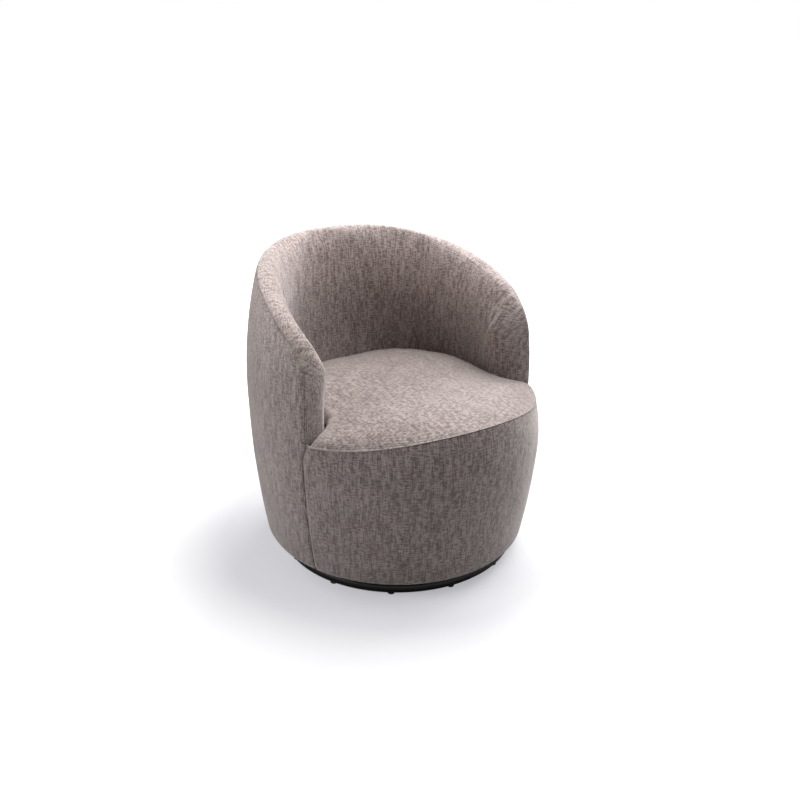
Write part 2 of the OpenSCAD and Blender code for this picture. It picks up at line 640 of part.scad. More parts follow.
// The outer cover, from one arm front round the back to the other
function cover_top(a) = a <= corner_start
    ? long_fall(a)
    : let (s = clamp((a - corner_start)/corner_arc))
        long_fall(a) - corner_drop*(1 - sqrt(max(0, 1 - pow(s, 2.2))));
cover_steps = 38;
function spread(i, n) = let (t = 2*i/n - 1) sign(t)*(1 - pow(1 - abs(t), 1.3));
function cover_grid(depth) = [for (i = [0:cover_steps]) let (a = spread(i, cover_steps)*arm_back)
    [for (j = [0:10]) on_hull(180 - a, mix(hem_z, cover_top(abs(a)), j/10), depth)]];
module outer_cover()
    color(fabric) slab(cover_grid(cover_t), cover_grid(0));

// The inner pads wrap over the rim. A row runs from the rim seam over the roll down to the foot.
foot_back = arm_back - arc_angle(roll_depth + 12, belly_r);
function foot_angle(t, from) = t <= 1
    ? mix(from, foot_back - 8, (rim_path(t)[0] - from)/(corner_start - from))
    : foot_back - 8 + 8*(t - 1)/2;
function pad_rise(t) = mix(roll_rise, front_rise, clamp((t - 1.35)/0.6));
function pad_front_row(t, side, foot) = concat(
    [for (k = [0:roll_steps]) let (q = k/roll_steps)
        rim_point(t, roll_n(q, pad_rise(t)) + soft_gap, roll_in(q, roll_wall(t)), side)],
    wall_points(t, roll_wall(t), wall_t, side, foot));
function pad_back_row(t, side, foot) = concat(
    [rim_point(t, soft_gap, cover_t + facet_gap, side)],
    [for (k = [1:roll_steps - 3])
        rim_point(t, -rim_tuck, mix(cover_t + facet_gap, pad_back(t), (k - 1)/(roll_steps - 4)), side)],
    [for (k = [0:2]) rim_point(t, mix(-rim_tuck - 10, -roll_depth, k/2), pad_back(t), side)],
    wall_points(t, pad_back(t), frame_out, side, foot));
arm_seam_t = (inner_seam_angle + arc_angle(soft_gap, belly_r))/corner_start;
arm_stations = concat(
    [for (i = [0:7]) mix(arm_seam_t, 1, i/7)],
    [for (i = [1:5]) 1 + i/5],
    [for (i = [1:4]) 2 + i/4]);
module arm_pad(side) {
    from = rim_path(arm_seam_t)[0];
    front = [for (t = arm_stations) pad_front_row(t, side, foot_angle(t, from))];
    back = [for (t = arm_stations) pad_back_row(t, side, foot_angle(t, from))];
    if (side > 0) slab(back, front);
    else slab(front, back);
}
module left_arm_pad()
    color(fabric) arm_pad(1);
module right_arm_pad()
    color(fabric) arm_pad(-1);
module back_pad() {
    turns = [for (i = [0:16]) mix(-1, 1, i/16)*inner_seam_angle];
    color(fabric) slab(
        [for (a = turns) pad_front_row(abs(a)/corner_start, a < 0 ? 1 : -1, abs(a))],
        [for (a = turns) pad_back_row(abs(a)/corner_start, a < 0 ? 1 : -1, abs(a))]);
}

on_axis() base_ring();
on_axis() glide_feet();
on_axis() cross_tube();
on_axis() cross_stubs();
on_axis() lower_swivel_plate();
on_axis() lower_plate_bolts();
on_axis() lower_plate_nuts();
on_axis() swivel_pivot();
on_axis() ball_cage();
on_axis() bearing_balls();
on_axis() upper_swivel_plate();
on_axis() upper_plate_bolts();
on_axis() tee_nuts();
bottom_board();
dust_cover();
lower_ribs();
seat_rail();
front_rail();
back_ribs();
left_arm_ribs();
right_arm_ribs();
left_arm_post();
right_arm_post();
back_rim_rail();
left_rim_rail();
right_rim_rail();
outer_lining();
front_lining();
seat_springs();
spring_clips();
spring_pad();
seat_foam();
seat_cover();
front_panel();
outer_cover();
back_pad();
left_arm_pad();
right_arm_pad();
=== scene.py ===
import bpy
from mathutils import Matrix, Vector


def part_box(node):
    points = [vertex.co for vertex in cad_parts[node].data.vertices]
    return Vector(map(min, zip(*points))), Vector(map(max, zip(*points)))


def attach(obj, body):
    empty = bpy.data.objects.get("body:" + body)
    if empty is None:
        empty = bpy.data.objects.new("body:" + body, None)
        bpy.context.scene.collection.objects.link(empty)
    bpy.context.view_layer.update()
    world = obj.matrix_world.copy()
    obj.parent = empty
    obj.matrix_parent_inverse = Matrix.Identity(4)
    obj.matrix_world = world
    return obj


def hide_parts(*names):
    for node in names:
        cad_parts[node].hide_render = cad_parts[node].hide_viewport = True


bl_info = {
    "name": "Swivel barrel armchair",
    "version": (1, 0, 0),
    "blender": (4, 5, 0),
    "location": "View3D > Sidebar > Armchair",
    "description": "Upholstery, seams, base finishes and studio of a swivel barrel armchair",
    "category": "Object",
}

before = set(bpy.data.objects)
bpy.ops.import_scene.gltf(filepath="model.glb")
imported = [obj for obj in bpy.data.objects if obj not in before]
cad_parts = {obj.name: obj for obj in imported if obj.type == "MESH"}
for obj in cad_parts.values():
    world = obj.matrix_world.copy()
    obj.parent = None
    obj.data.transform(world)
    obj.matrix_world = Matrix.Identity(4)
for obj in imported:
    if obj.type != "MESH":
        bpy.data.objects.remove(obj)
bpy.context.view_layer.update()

import math

import bpy
import numpy as np
from mathutils import Vector

# The shell's form, in metres and degrees. Angles are taken from the front, positive towards +X,
# and a back angle is taken from the back. A depth goes from the shell's surface inwards.
BELLY_R, BELLY_Z, FOOT_DRAW, TOP_DRAW = 0.319, 0.370, 0.025, 0.041
HEM_RATIO, RIM_RATIO = 1.04, 1.207  # the oval's length over its width
HEM_Z, RIM_Z, RIM_FALL = 0.038, 0.658, 0.092
ARM, CORNER_ARC, CORNER_DROP = 68.0, 12.6, 0.050
ARM_BACK = 180.0 - ARM
CORNER_START = ARM_BACK - CORNER_ARC
INNER_SEAM = 49.0  # back angle of the seams between the inner back and the arms
SEAM_MID_Z, SEAM_FOOT_Z, SEAM_INSET = 0.401, 0.352, 0.020
SEAM_OUT = 1.8  # degrees that the seams at the arms' fronts run outwards below the seat
PANEL_BEND = 0.110
ARC = BELLY_R * math.pi / 180  # metres of cloth in a degree
CLOTH_THICK, HEM_REACH, HEM_DRAW, HEM_UNDER, SLACK = 0.0050, 0.010, 0.004, 0.0012, 0.0006
SEAM_GAP, FOLD_RADIUS = 0.0012, 0.0006
GATHER_REACH, GATHER_FROM, GATHER_TO = 0.022, 38, 62  # below the front seam, towards the arms
PULL, PULL_AWAY, PULL_REACH = 0.0008, 0.008, 0.010  # the small pulls beside the inner seams

# The padded roll over the rim. t runs along the rim seam from 0 at the back over 1 and 2, the rounded
# corner's ends, to 3 at the foot. RISES say where along t the roll changes its rise, and to what.
# The inner face leans from LEAN_TOP down to WALL over LEAN_LENGTH, at the back and at the arms.
BACK_RISE, FRONT_RISE, BACK_DROP, WALL = 0.0160, 0.003, 0.100, 0.090
RISES = ((0.2, 0.7, 0.0095), (0.8, 1.05, 0.0165), (1.25, 2.0, 0.0065))
TOP_SHARE, FALL_POWER = 0.30, 1.6  # the share of the roll's profile that lies outside its top
LEAN_TOP, LEAN_LENGTH, LEAN_POWER, LEAN_FOOT = (0.024, 0.032), (0.070, 0.082), 0.8, 0.014
# At an arm's front it is flat instead: its thickness and drop, and the powers of its profile.
FRONT_THICK, FRONT_DROP, FRONT_POWER, FRONT_CORNER, FRONT_LEAN = 0.087, 0.045, 4.5, 1.7, 0.9
PAD_FOOT_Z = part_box("back_pad")[0].z
PAD_THICK, PAD_BACK, PAD_SUNK = 0.026, (0.010, 0.055), 0.010  # of a pad's hidden side
ROLL_ROWS, WALL_ROWS = 44, 40  # rows of a pad's mesh over its roll and down the wall
LEAST_UP, TINY = 0.5, 1e-9  # the least that a slope and a length are taken for where they divide

# The seat: its crown and how far it falls to each side, how deep it is tucked in, the gaps that it
# leaves, the steps down and inwards below its edge, and the width of the roll along its edge: behind,
# in front, at the front's corners, and over how much these blend.
CROWN_Z, SIDE_FALL, BACK_FALL, FRONT_FALL = 0.414, 0.026, 0.058, 0.006
SIDE_REACH, BACK_REACH, FRONT_REACH = 0.217, 0.270, 0.326
TUCK, ARM_GAP, WALL_GAP = 0.022, 0.0080, 0.0060
SEAT_SIDE, SEAT_UNDER_Z, UNDER_SHARE = 68, 0.280, 0.86  # SEAT_SIDE is in squares of the mesh
SEAT_STEPS = ((0.003, 0.0022), (0.008, 0.0055), (0.018, 0.011), (0.035, 0.019), (0.055, 0.026))
BACK_ROLL, FRONT_ROLL, CORNER_ROLL, ROLL_BLEND = 0.015, 0.045, 0.018, 0.012

RING_R, RING_Z, RING_TUBE = 0.257, 0.0155, 0.0125
AXIS_Y = -0.017  # the swivel axis is in front of the shell's middle


def hull_ratio(z):
    return HEM_RATIO + (RIM_RATIO - HEM_RATIO) * (z - HEM_Z) / (RIM_Z - HEM_Z)


def hull_side(z):
    low = np.clip((BELLY_Z - z) / (BELLY_Z - HEM_Z), 0, None)
    high = np.clip((z - BELLY_Z) / (RIM_Z - BELLY_Z), 0, None)
    return BELLY_R - FOOT_DRAW * low**2.2 - TOP_DRAW * high**2


def hull_radius(angle, z):
    a = np.radians(angle)
    return hull_side(z) / np.sqrt((np.cos(a) / hull_ratio(z)) ** 2 + np.sin(a) ** 2)


def polar(angle, r, z):
    a = np.radians(angle)
    return np.stack(np.broadcast_arrays(r * np.sin(a), -r * np.cos(a), z), -1)


def on_hull(angle, z, depth):
    return polar(angle, hull_radius(angle, z) - depth, z)


def blend(a, b, t):
    return a + (b - a) * t


def smooth(x, low=0.0, high=1.0):
    t = np.clip((x - low) / (high - low), 0, 1)
    return t * t * (3 - 2 * t)


def spaced(stops, counts):
    """Even places from each stop to the next, with a count for each stretch."""
    parts = [np.linspace(a, b, n) for a, b, n in zip(stops, stops[1:], counts)]
    return np.concatenate(parts[:1] + [part[1:] for part in parts[1:]])


def mirrored(half, signs=-1):
    """A whole line from its half that starts in the middle."""
    return np.concatenate([(half * signs)[::-1], half[1:]])


def long_fall(a):
    return RIM_Z - RIM_FALL * (np.abs(a) / 100) ** 2.85


CORNER_END_Z = float(long_fall(ARM_BACK)) - CORNER_DROP


def rim_path(t):
    t = np.asarray(t, float)
    q = np.radians(90 * np.clip(t - 1, 0, 1))
    a = np.where(t <= 1, CORNER_START * t, CORNER_START + CORNER_ARC * np.sin(q) ** 0.84)
    z = long_fall(a) - CORNER_DROP * (1 - np.cos(q)) ** 1.12
    return a, np.where(t <= 2, z, blend(CORNER_END_Z, PAD_FOOT_Z, t - 2))


def rim_normal(t, step=0.02):
    a0, z0 = rim_path(np.maximum(0, t - step))
    a1, z1 = rim_path(np.minimum(3, t + step))
    run, rise = (a1 - a0) * ARC, z1 - z0
    length = np.hypot(run, rise)
    return -rise / length, run / length


def rim_place(t, n):
    """The back angle and height of a point n across the rim seam, outwards."""
    a, z = rim_path(t)
    across, up = rim_normal(t)
    return a + np.degrees(n * across / hull_radius(180 - a, z)), z + n * up


def roll_rise(t):
    """How far the roll stands above the rim seam: most at the back, least at an arm's front."""
    rise = BACK_RISE
    for start, end, height in RISES:
        rise = blend(rise, height, smooth(t, start, end))
    return np.where(t > 2, blend(RISES[-1][2], FRONT_RISE, np.clip(t - 2, 0, 1)), rise)


def roll_drop(t):
    """How far down inside the roll's rows reach, less where the rim's corner would make them cross."""
    return blend(BACK_DROP, FRONT_DROP, smooth(t, 0.5, 1.0))


def frontness(t):
    """How much of the flat form of an arm's front the roll has taken on."""
    return smooth(t, 1.05, 2.05)


def lean_depth(t, fall):
    """Depth of the rounded inner side of the roll, a way down from its top."""
    side = smooth(t, 0.2, 0.6)
    top, length = blend(*LEAN_TOP, side), blend(*LEAN_LENGTH, side)
    up = np.maximum(rim_normal(t)[1], LEAST_UP)
    whole = roll_rise(t) + (rim_path(t)[1] - SEAM_FOOT_Z - LEAN_FOOT) / up
    eased, full = [1 - np.exp(-(np.maximum(way, TINY) / length) ** LEAN_POWER) for way in (fall, whole)]
    return np.minimum(top + (WALL - top) * eased / full, WALL)


def roll_place(t, q):
    """Height over the rim seam and depth of the roll, from the seam (q 0) to the inner wall (q 1)."""
    rise = roll_rise(t)
    turn = np.clip(q / TOP_SHARE, 0, 1) * (np.pi / 2)
    inside = np.clip((q - TOP_SHARE) / (1 - TOP_SHARE), 0, 1)
    fall = (rise + roll_drop(t)) * inside**FALL_POWER
    outside = q < TOP_SHARE
    n = np.where(outside, rise * np.sin(turn), rise - fall)
    depth = np.where(outside, lean_depth(t, 0.0) * (1 - np.cos(turn)), lean_depth(t, fall))
    flat_n = rise * np.sin(np.pi * q**FRONT_LEAN) - FRONT_DROP * q**FRONT_POWER
    flat_depth = FRONT_THICK * (1 - (1 - q) ** FRONT_CORNER)
    return blend(n, flat_n, frontness(t)), blend(depth, flat_depth, frontness(t))


def roll_profile(steps):
    """Even steps over the padded roll, as q."""
    q = np.linspace(0, 1, 2000)
    n, depth = roll_place(0.5, q)
    length = np.concatenate([[0], np.cumsum(np.hypot(np.diff(n), np.diff(depth)))])
    return np.interp(np.linspace(0, length[-1], steps), length, q)


def wall_depth(t, z):
    """Depth of the inner face below the roll, which leans back from the seat to the rim."""
    up = rim_normal(t)[1]
    below = np.maximum(rim_path(t)[1] - roll_drop(t) * up - z, 0)
    leaning = lean_depth(t, roll_rise(t) + roll_drop(t) + below / np.maximum(up, LEAST_UP))
    return blend(leaning, blend(FRONT_THICK, WALL, smooth(below, 0, 0.06)), frontness(t))


def wall_face(length):
    """The inner wall's depth at a way back from an arm's front, at the seat's height."""
    q = np.clip(((np.maximum(0, length) + FRONT_RISE) / FRONT_DROP) ** (1 / FRONT_POWER), 0, 1)
    flat = FRONT_THICK * (1 - (1 - q) ** FRONT_CORNER)
    return flat + (WALL - FRONT_THICK) * smooth(length, 0.02, 0.06)


def end_shift(z):
    """How far the seams at the arms' fronts run outwards below the seat, in degrees."""
    return SEAM_OUT * smooth(SEAM_FOOT_Z - z, 0.001, 0.041)


def edge_distance(u, z, path):
    """Distance from each unrolled point to the nearest point of a dense unrolled path."""
    points = np.stack([u.ravel(), z.ravel()], 1)
    nearest = np.zeros(len(points))
    for start in range(0, len(points), 4096):
        part = points[start:start + 4096, None, :] - path[None, :, :]
        nearest[start:start + 4096] = np.sqrt((part**2).sum(2).min(1))
    return nearest.reshape(u.shape)


def front_seam_z(angle):
    share = np.minimum(1, np.abs(angle) / ARM)
    return blend(SEAM_FOOT_Z, SEAM_MID_Z, np.cos(np.radians(90 * share)) ** 2.02)


def seam_inset(angle):
    return SEAM_INSET * (1 - np.minimum(1, np.abs(angle) / ARM) ** 3)


def panel_depth(angle, z):
    bend = np.clip((z - front_seam_z(angle) + PANEL_BEND) / PANEL_BEND, 0, 1)
    return seam_inset(angle) * bend**2


def crown(x, y):
    back = BACK_FALL * (np.clip(y, 0, None) / BACK_REACH) ** 2.2
    front = FRONT_FALL * (np.clip(-y, 0, None) / FRONT_REACH) ** 2
    return CROWN_Z - SIDE_FALL * (np.abs(x) / SIDE_REACH) ** 2.3 - back - front


def hem_draw(z):
    """How far the cloth is drawn in towards the hem."""
    return smooth(HEM_REACH - (z - HEM_Z), 0, HEM_REACH) * HEM_DRAW


def ripple(x, seed=0.0):
    """Uneven waves of about one unit, for gathers and pulled cloth."""
    long, mid, short = np.sin(x + seed), np.sin(1.73 * x + 2.1 * seed + 1), np.sin(2.61 * x + seed)
    return (long + 0.6 * mid + 0.4 * short) / 2


# Sizes and colours that a user would change
def size_prop(name, description, default, low=0.0, high=1.0):
    return bpy.props.FloatProperty(
        name=name, description=description, default=default, min=low, max=high,
        subtype="DISTANCE", unit="LENGTH", precision=4)


def share_prop(name, description, default, high=1.0):
    return bpy.props.FloatProperty(
        name=name, description=description, default=default, min=0, max=high)


def colour_prop(name, description, default):
    return bpy.props.FloatVectorProperty(
        name=name, description=description, default=default, size=3, min=0, max=1, subtype="COLOR")


class ClothSettings(bpy.types.PropertyGroup):
    light: colour_prop("Light yarn", "Colour of the raised yarn", (0.500, 0.420, 0.395))
    dark: colour_prop("Dark yarn", "Colour of the yarn's shaded side", (0.190, 0.147, 0.141))
    yarn: size_prop("Yarn", "Width of a yarn of the weave", 0.0030, 0.001, 0.006)
    slub: size_prop("Slub", "Length of a thick place in a warp yarn", 0.026, 0.005, 0.06)
    cross: size_prop("Cross slub", "Length of a thick place in a weft yarn", 0.013, 0.005, 0.06)
    # The rim setting: how strong the painted light is that lightens the cloth towards the rim.
    painted_rim_light: share_prop("Rim pile", "How much lighter the pile is over the rim", 1.0, 2.0)
    swell: size_prop("Swell", "Most that the padding swells the cloth", 0.005, 0.0, 0.02)


class SeamSettings(bpy.types.PropertyGroup):
    dip: size_prop("Dip", "How far a seam draws the cloth in", 0.0022, 0.0, 0.01)
    reach: size_prop("Reach", "How far from a seam the cloth is drawn in", 0.0032, 0.001, 0.03)
    gather: size_prop("Gathers", "Height of the gathers under the front seam", 0.0010, 0.0, 0.004)
    stitch: size_prop("Stitch", "Length of one stitch", 0.0042, 0.002, 0.01)
    thread: size_prop("Thread", "Radius of the sewing thread", 0.0004, 0.0001, 0.001)
    thread_colour: colour_prop("Thread colour", "Colour of the sewing thread", (0.42, 0.36, 0.33))


class BaseSettings(bpy.types.PropertyGroup):
    coat: colour_prop("Powder coat", "Colour of the ring and its cross", (0.0022, 0.0022, 0.0026))
    staple_gap: size_prop("Staples", "Spacing of the staples under the seat", 0.028, 0.01, 0.1)


class StageSettings(bpy.types.PropertyGroup):
    lens: bpy.props.FloatProperty(
        name="Lens", description="Focal length of the camera", default=48.36, min=20, max=200,
        subtype="DISTANCE_CAMERA", unit="CAMERA")
    key: share_prop("Lights", "Brightness of all the lights together", 1.0, 10.0)
    fill: share_prop("Fill", "Light from all around", 0.0, 10.0)
    glow: share_prop("Floor glow", "How bright the camera sees the floor in full shade", 0.42)


class ArmchairSettings(bpy.types.PropertyGroup):
    cloth: bpy.props.PointerProperty(type=ClothSettings)
    seams: bpy.props.PointerProperty(type=SeamSettings)
    base: bpy.props.PointerProperty(type=BaseSettings)
    stage: bpy.props.PointerProperty(type=StageSettings)


def settings():
    return bpy.context.scene.armchair


# Nodes
class Number:
    """What a node gives, for other nodes' inputs and for ordinary arithmetic."""

    def __init__(self, nodes, socket):
        self.nodes, self.socket = nodes, socket

    def math(self, operation, a, b=0.0):
        return self.nodes.node("ShaderNodeMath", {0: a, 1: b}, operation=operation)

    def __add__(self, other):
        return self.math("ADD", self, other)

    __radd__ = __add__

    def __mul__(self, other):
        return self.math("MULTIPLY", self, other)

    __rmul__ = __mul__

    def __sub__(self, other):
        return self.math("SUBTRACT", self, other)

    def __rsub__(self, other):
        return self.math("SUBTRACT", other, self)

    def __truediv__(self, other):
        return self.math("DIVIDE", self, other)

    def clamp(self):
        return self.nodes.node("ShaderNodeClamp", {0: self, 1: 0.0, 2: 1.0})

    def sine(self):
        return self.math("SINE", self)


class Nodes:
    """A node tree, whose nodes are each made in one call."""

    def __init__(self, tree):
        self.tree = tree

    def node(self, kind, values=(), output=0, **choices):
        made = self.tree.nodes.new(kind)
        for key, value in choices.items():
            setattr(made, key, value)
        for key, value in dict(values).items():
            if isinstance(value, Number):
                self.feed(made, key, value)
            else:
                made.inputs[key].default_value = value
        return Number(self, made.outputs[output])

    def feed(self, node, key, value):
        self.tree.links.new(value.socket, node.inputs[key])


class Shader(Nodes):
    """A material with one Principled shader, whose inputs are given with _ for a space."""

    def __init__(self, name, **inputs):
        self.material = bpy.data.materials.new(name)
        self.material.use_nodes = True
        super().__init__(self.material.node_tree)
        self.surface = self.tree.nodes["Principled BSDF"]
        for key, value in inputs.items():
            self.surface.inputs[key.replace("_", " ")].default_value = value

    def put(self, name, value):
        self.feed(self.surface, name, value)

    def scaled(self, vector, scale):
        return self.node("ShaderNodeVectorMath", {0: vector, 1: scale}, operation="MULTIPLY")

    def noise(self, vector, scale=1.0, detail=2.0, roughness=0.5):
        return self.node("ShaderNodeTexNoise", {
            "Vector": vector, "Scale": scale, "Detail": detail, "Roughness": roughness})

    def mix(self, factor, a, b):
        return self.node("ShaderNodeMix", {0: factor, 6: rgba(a), 7: rgba(b)}, 2, data_type="RGBA")

    def bump(self, height, distance, strength=1.0):
        self.put("Normal", self.node("ShaderNodeBump", {
            "Height": height, "Distance": distance, "Strength": strength}))

    def place(self):
        return self.node("ShaderNodeTexCoord", output="Object")


def rgba(colour):
    return (*colour, 1.0)


def chenille(name="taupe_chenille", warp=1.0, weft=1.0, nap=0.5, painted_light_by_height=True):
    """The chair's cloth: a plain weave of slubby yarn with a brushed pile. It reads the pieces' own map of
    the cloth, in metres, with the warp along its second axis. The nap is how far the pile has been stroked
    about. Unless turned off, the colour is scaled by the map's height as painted light and shade: darker low
    down, as painted shade, and lighter towards the rim, as painted light."""
    known = bpy.data.materials.get(name)
    if known:
        return known
    cloth = settings().cloth
    s = Shader(name, Roughness=0.90, Specular_IOR_Level=0.2,
               Sheen_Weight=0.65, Sheen_Roughness=0.50, Sheen_Tint=(0.95, 0.91, 0.89, 1.0))
    flat = s.node("ShaderNodeUVMap", uv_map="cloth")
    u, v = [s.node("ShaderNodeSeparateXYZ", {0: flat}, axis) for axis in (0, 1)]
    fine, slub, cross = 1 / cloth.yarn, 1 / cloth.slub, 1 / cloth.cross
    lengthwise = s.noise(s.scaled(flat, (fine, slub, 1.0)), detail=2.5, roughness=0.6)
    crosswise = s.noise(s.scaled(flat, (cross, fine * 1.1, 1.0)), detail=2.5, roughness=0.6)
    bands = s.noise(s.scaled(flat, (fine * 0.30, slub * 0.35, 1.0)), detail=1.0)
    strokes = s.noise(s.scaled(flat, (150.0, 110.0, 1.0)), detail=3.0, roughness=0.65)
    clouds = s.noise(s.scaled(flat, (24.0, 17.0, 1.0)), detail=2.5)
    turn = math.pi / cloth.yarn
    weave = (u * turn).sine() * (v * turn).sine()
    tone = (0.5 + (lengthwise - 0.5) * (3.1 * warp) + (crosswise - 0.5) * (3.4 * weft)
            + (bands - 0.5) * (1.2 * warp) + (strokes - 0.5) * (2.8 * nap)
            + (clouds - 0.5) * (0.35 + 0.4 * nap) + weave * 0.06)
    gain = 1.0
    # Painted light and shade by height: the colour is 0.88 times as bright below 0.42 on the map's second
    # axis (painted shade) and rises towards 0.70 by up to 0.62 times the rim setting (painted light).
    if painted_light_by_height:
        low, height, least, more = 0.42, 0.28, 0.88, 0.62
        high = ((v - low) / height).clamp()
        gain = least + (high * high * (3.0 - 2.0 * high)) * (more * cloth.painted_rim_light)
    colour = s.mix(tone.clamp(), cloth.dark, cloth.light)
    s.put("Base Color", s.node("ShaderNodeVectorMath", {0: colour, "Scale": gain}, operation="SCALE"))
    pile = lengthwise * (0.5 * warp) + crosswise * (0.5 * weft) + strokes * (0.5 * nap) + weave * 0.2
    s.bump(pile, 0.0017, 0.9)
    return s.material


def finish(name, low, high, clouds, relief, fine=None, gloss=None, **inputs):
    """A finish of two colours mixed by a noise, which its relief follows unless there is a finer one.
    A noise has a scale, detail and roughness, the relief a distance and strength. The gloss is the
    roughness and what the noise adds to it."""
    s = Shader(name, **inputs)
    place = s.place()
    cloudy = s.noise(place, *clouds)
    s.put("Base Color", s.mix(cloudy, low, high))
    if gloss:
        s.put("Roughness", gloss[0] + cloudy * gloss[1])
    s.bump(s.noise(place, *fine) if fine else cloudy, *relief)
    return s.material


def felt(name, low, high, scale):
    return finish(name, low, high, (scale, 5.0, 0.75), (0.0004, 0.5), Roughness=0.95, Sheen_Weight=0.15)


def zinc():
    s = Shader("zinc_plate", Metallic=1.0, Roughness=0.35)
    place = s.place()
    brushed = s.noise(s.scaled(place, (60.0, 900.0, 900.0)))
    bloom = s.noise(place, 35.0, 4.0)
    s.put("Base Color", s.mix(bloom, (0.46, 0.47, 0.48), (0.62, 0.61, 0.57)))
    s.put("Roughness", 0.28 + brushed * 0.2)
    s.bump(brushed, 0.00008, 0.3)
    return s.material


def plywood():
    s = Shader("plywood", Roughness=0.7)
    place = s.place()
    grain = s.noise(s.scaled(place, (30.0, 30.0, 6.0)), detail=5.0, roughness=0.6)
    plies = (s.node("ShaderNodeSeparateXYZ", {0: place}, 2) * 1900.0 + grain * 2.0).sine()
    tone = (grain * 0.8 + plies * 0.12 + 0.1).clamp()
    s.put("Base Color", s.mix(tone, (0.40, 0.25, 0.13), (0.72, 0.54, 0.33)))
    s.bump(grain, 0.0004, 0.4)
    return s.material


def assign(piece, material):
    piece.data.materials.clear()
    piece.data.materials.append(material)
    for face in piece.data.polygons:
        face.material_index = 0
        face.use_smooth = True


def finish_nodes(material, *names):
    for name in names:
        assign(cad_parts[name], material)


# Meshes
def added(name, data):
    made = bpy.data.objects.new(name, data)
    bpy.context.scene.collection.objects.link(made)
    return made


def mesh_piece(name, points, faces, cloth_map=None):
    """A piece from points and faces, turned so that its faces point outwards."""
    points = np.asarray(points, float)
    fans = np.array([(f[0], f[i], f[i + 1]) for f in faces for i in range(1, len(f) - 1)])
    a, b, c = points[fans.T]
    if float((a * np.cross(b, c)).sum()) < 0:
        faces = [tuple(reversed(face)) for face in faces]
    mesh = bpy.data.meshes.new(name)
    mesh.from_pydata(points.tolist(), [], faces)
    if cloth_map is not None:
        layer = mesh.uv_layers.new(name="cloth")
        corner = np.zeros(len(mesh.loops), int)
        mesh.loops.foreach_get("vertex_index", corner)
        layer.data.foreach_set("uv", np.asarray(cloth_map, float)[corner].ravel())
    mesh.update()
    return added(name, mesh)


def grid_faces(rows, cols, wrap=False):
    numbers = np.arange(rows * cols).reshape(rows, cols)
    if wrap:
        numbers = np.concatenate([numbers, numbers[:, :1]], 1)
    corners = numbers[:-1, :-1], numbers[:-1, 1:], numbers[1:, 1:], numbers[1:, :-1]
    return np.stack([corner.ravel() for corner in corners], 1).tolist()


def grid_border(numbers):
    """The border of a grid of numbers, going round."""
    return np.concatenate([numbers[0, :-1], numbers[:-1, -1], numbers[-1, :0:-1], numbers[:0:-1, 0]])


def flipped(faces, shift):
    """The same faces turned over, on points that come later in the list by a shift."""
    return [[i + shift for i in reversed(face)] for face in faces]


def band(upper, lower):
    """The faces between two closed loops of point numbers."""
    return np.stack([np.roll(upper, -1), upper, lower, np.roll(lower, -1)], 1).tolist()


def slab_piece(name, near, far, cloth_map):
    """A closed piece between two grids of the same shape, whose borders stay where they are in a
    subdivision."""
    rows, cols = near.shape[:2]
    size = rows * cols
    faces = grid_faces(rows, cols)
    faces += flipped(faces, size)
    edge = grid_border(np.arange(size).reshape(rows, cols))
    faces += band(edge, edge + size)
    points = np.concatenate([near.reshape(-1, 3), far.reshape(-1, 3)])
    piece = mesh_piece(name, points, faces, np.concatenate([cloth_map.reshape(-1, 2)] * 2))
    border = np.isin(np.arange(2 * size) % size, edge)
    ends = np.zeros(2 * len(piece.data.edges), int)
    piece.data.edges.foreach_get("vertices", ends)
    sharp = border[ends.reshape(-1, 2)].all(1)
    crease = piece.data.attributes.new("crease_edge", "FLOAT", "EDGE")
    crease.data.foreach_set("value", sharp.astype(np.float32))
    return piece


def vertex_array(mesh):
    flat = np.zeros(len(mesh.vertices) * 3)
    mesh.vertices.foreach_get("co", flat)
    return flat.reshape(-1, 3)


def result_mesh(piece):
    """The mesh that a piece's modifiers give."""
    return bpy.data.meshes.new_from_object(piece.evaluated_get(bpy.context.evaluated_depsgraph_get()))


# The cloth simulation that lets the padding swell a cover
SWELL_FRAMES = 12
SWELL = {
    "use_pressure": True, "uniform_pressure_force": 4.0, "vertex_group_mass": "held",
    "tension_stiffness": 12, "compression_stiffness": 12, "bending_stiffness": 0.4, "quality": 4}


def swollen(piece, held, most):
    """Lets the padding swell the cloth under pressure, with the held points pinned and every
    point's way capped at most metres, and makes the mesh finer."""
    if most > 0:
        start = vertex_array(piece.data)
        group = piece.vertex_groups.new(name="held")
        group.add([int(i) for i in np.nonzero(held)[0]], 1.0, "REPLACE")
        cloth = piece.modifiers.new("padding", "CLOTH")
        for key, value in SWELL.items():
            setattr(cloth.settings, key, value)
        cloth.settings.effector_weights.gravity = 0
        cloth.collision_settings.use_collision = False
        cloth.point_cache.frame_start, cloth.point_cache.frame_end = 1, SWELL_FRAMES
        scene = bpy.context.scene
        for step in range(1, SWELL_FRAMES + 1):
            scene.frame_set(step)
        evaluated = piece.evaluated_get(bpy.context.evaluated_depsgraph_get())
        moved = vertex_array(evaluated.data) - start
        piece.modifiers.clear()
        piece.vertex_groups.clear()
        scene.frame_set(1)
        length = np.linalg.norm(moved, axis=1, keepdims=True)
        capped = start + moved * (most * np.tanh(length / most) / np.maximum(length, TINY))
        piece.data.vertices.foreach_set("co", capped.ravel())
        piece.data.update()
    finer = piece.modifiers.new("finer", "SUBSURF")
    finer.levels = finer.render_levels = 1
    finer.boundary_smooth = "PRESERVE_CORNERS"
    done = result_mesh(piece)
    piece.modifiers.clear()
    name, old = piece.data.name, piece.data
    piece.data = done
    bpy.data.meshes.remove(old)
    done.name = name


def ready(piece, body, material, slot, *nodes):
    assign(piece, material)
    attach(piece, body)
    if nodes:
        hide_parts(*nodes)


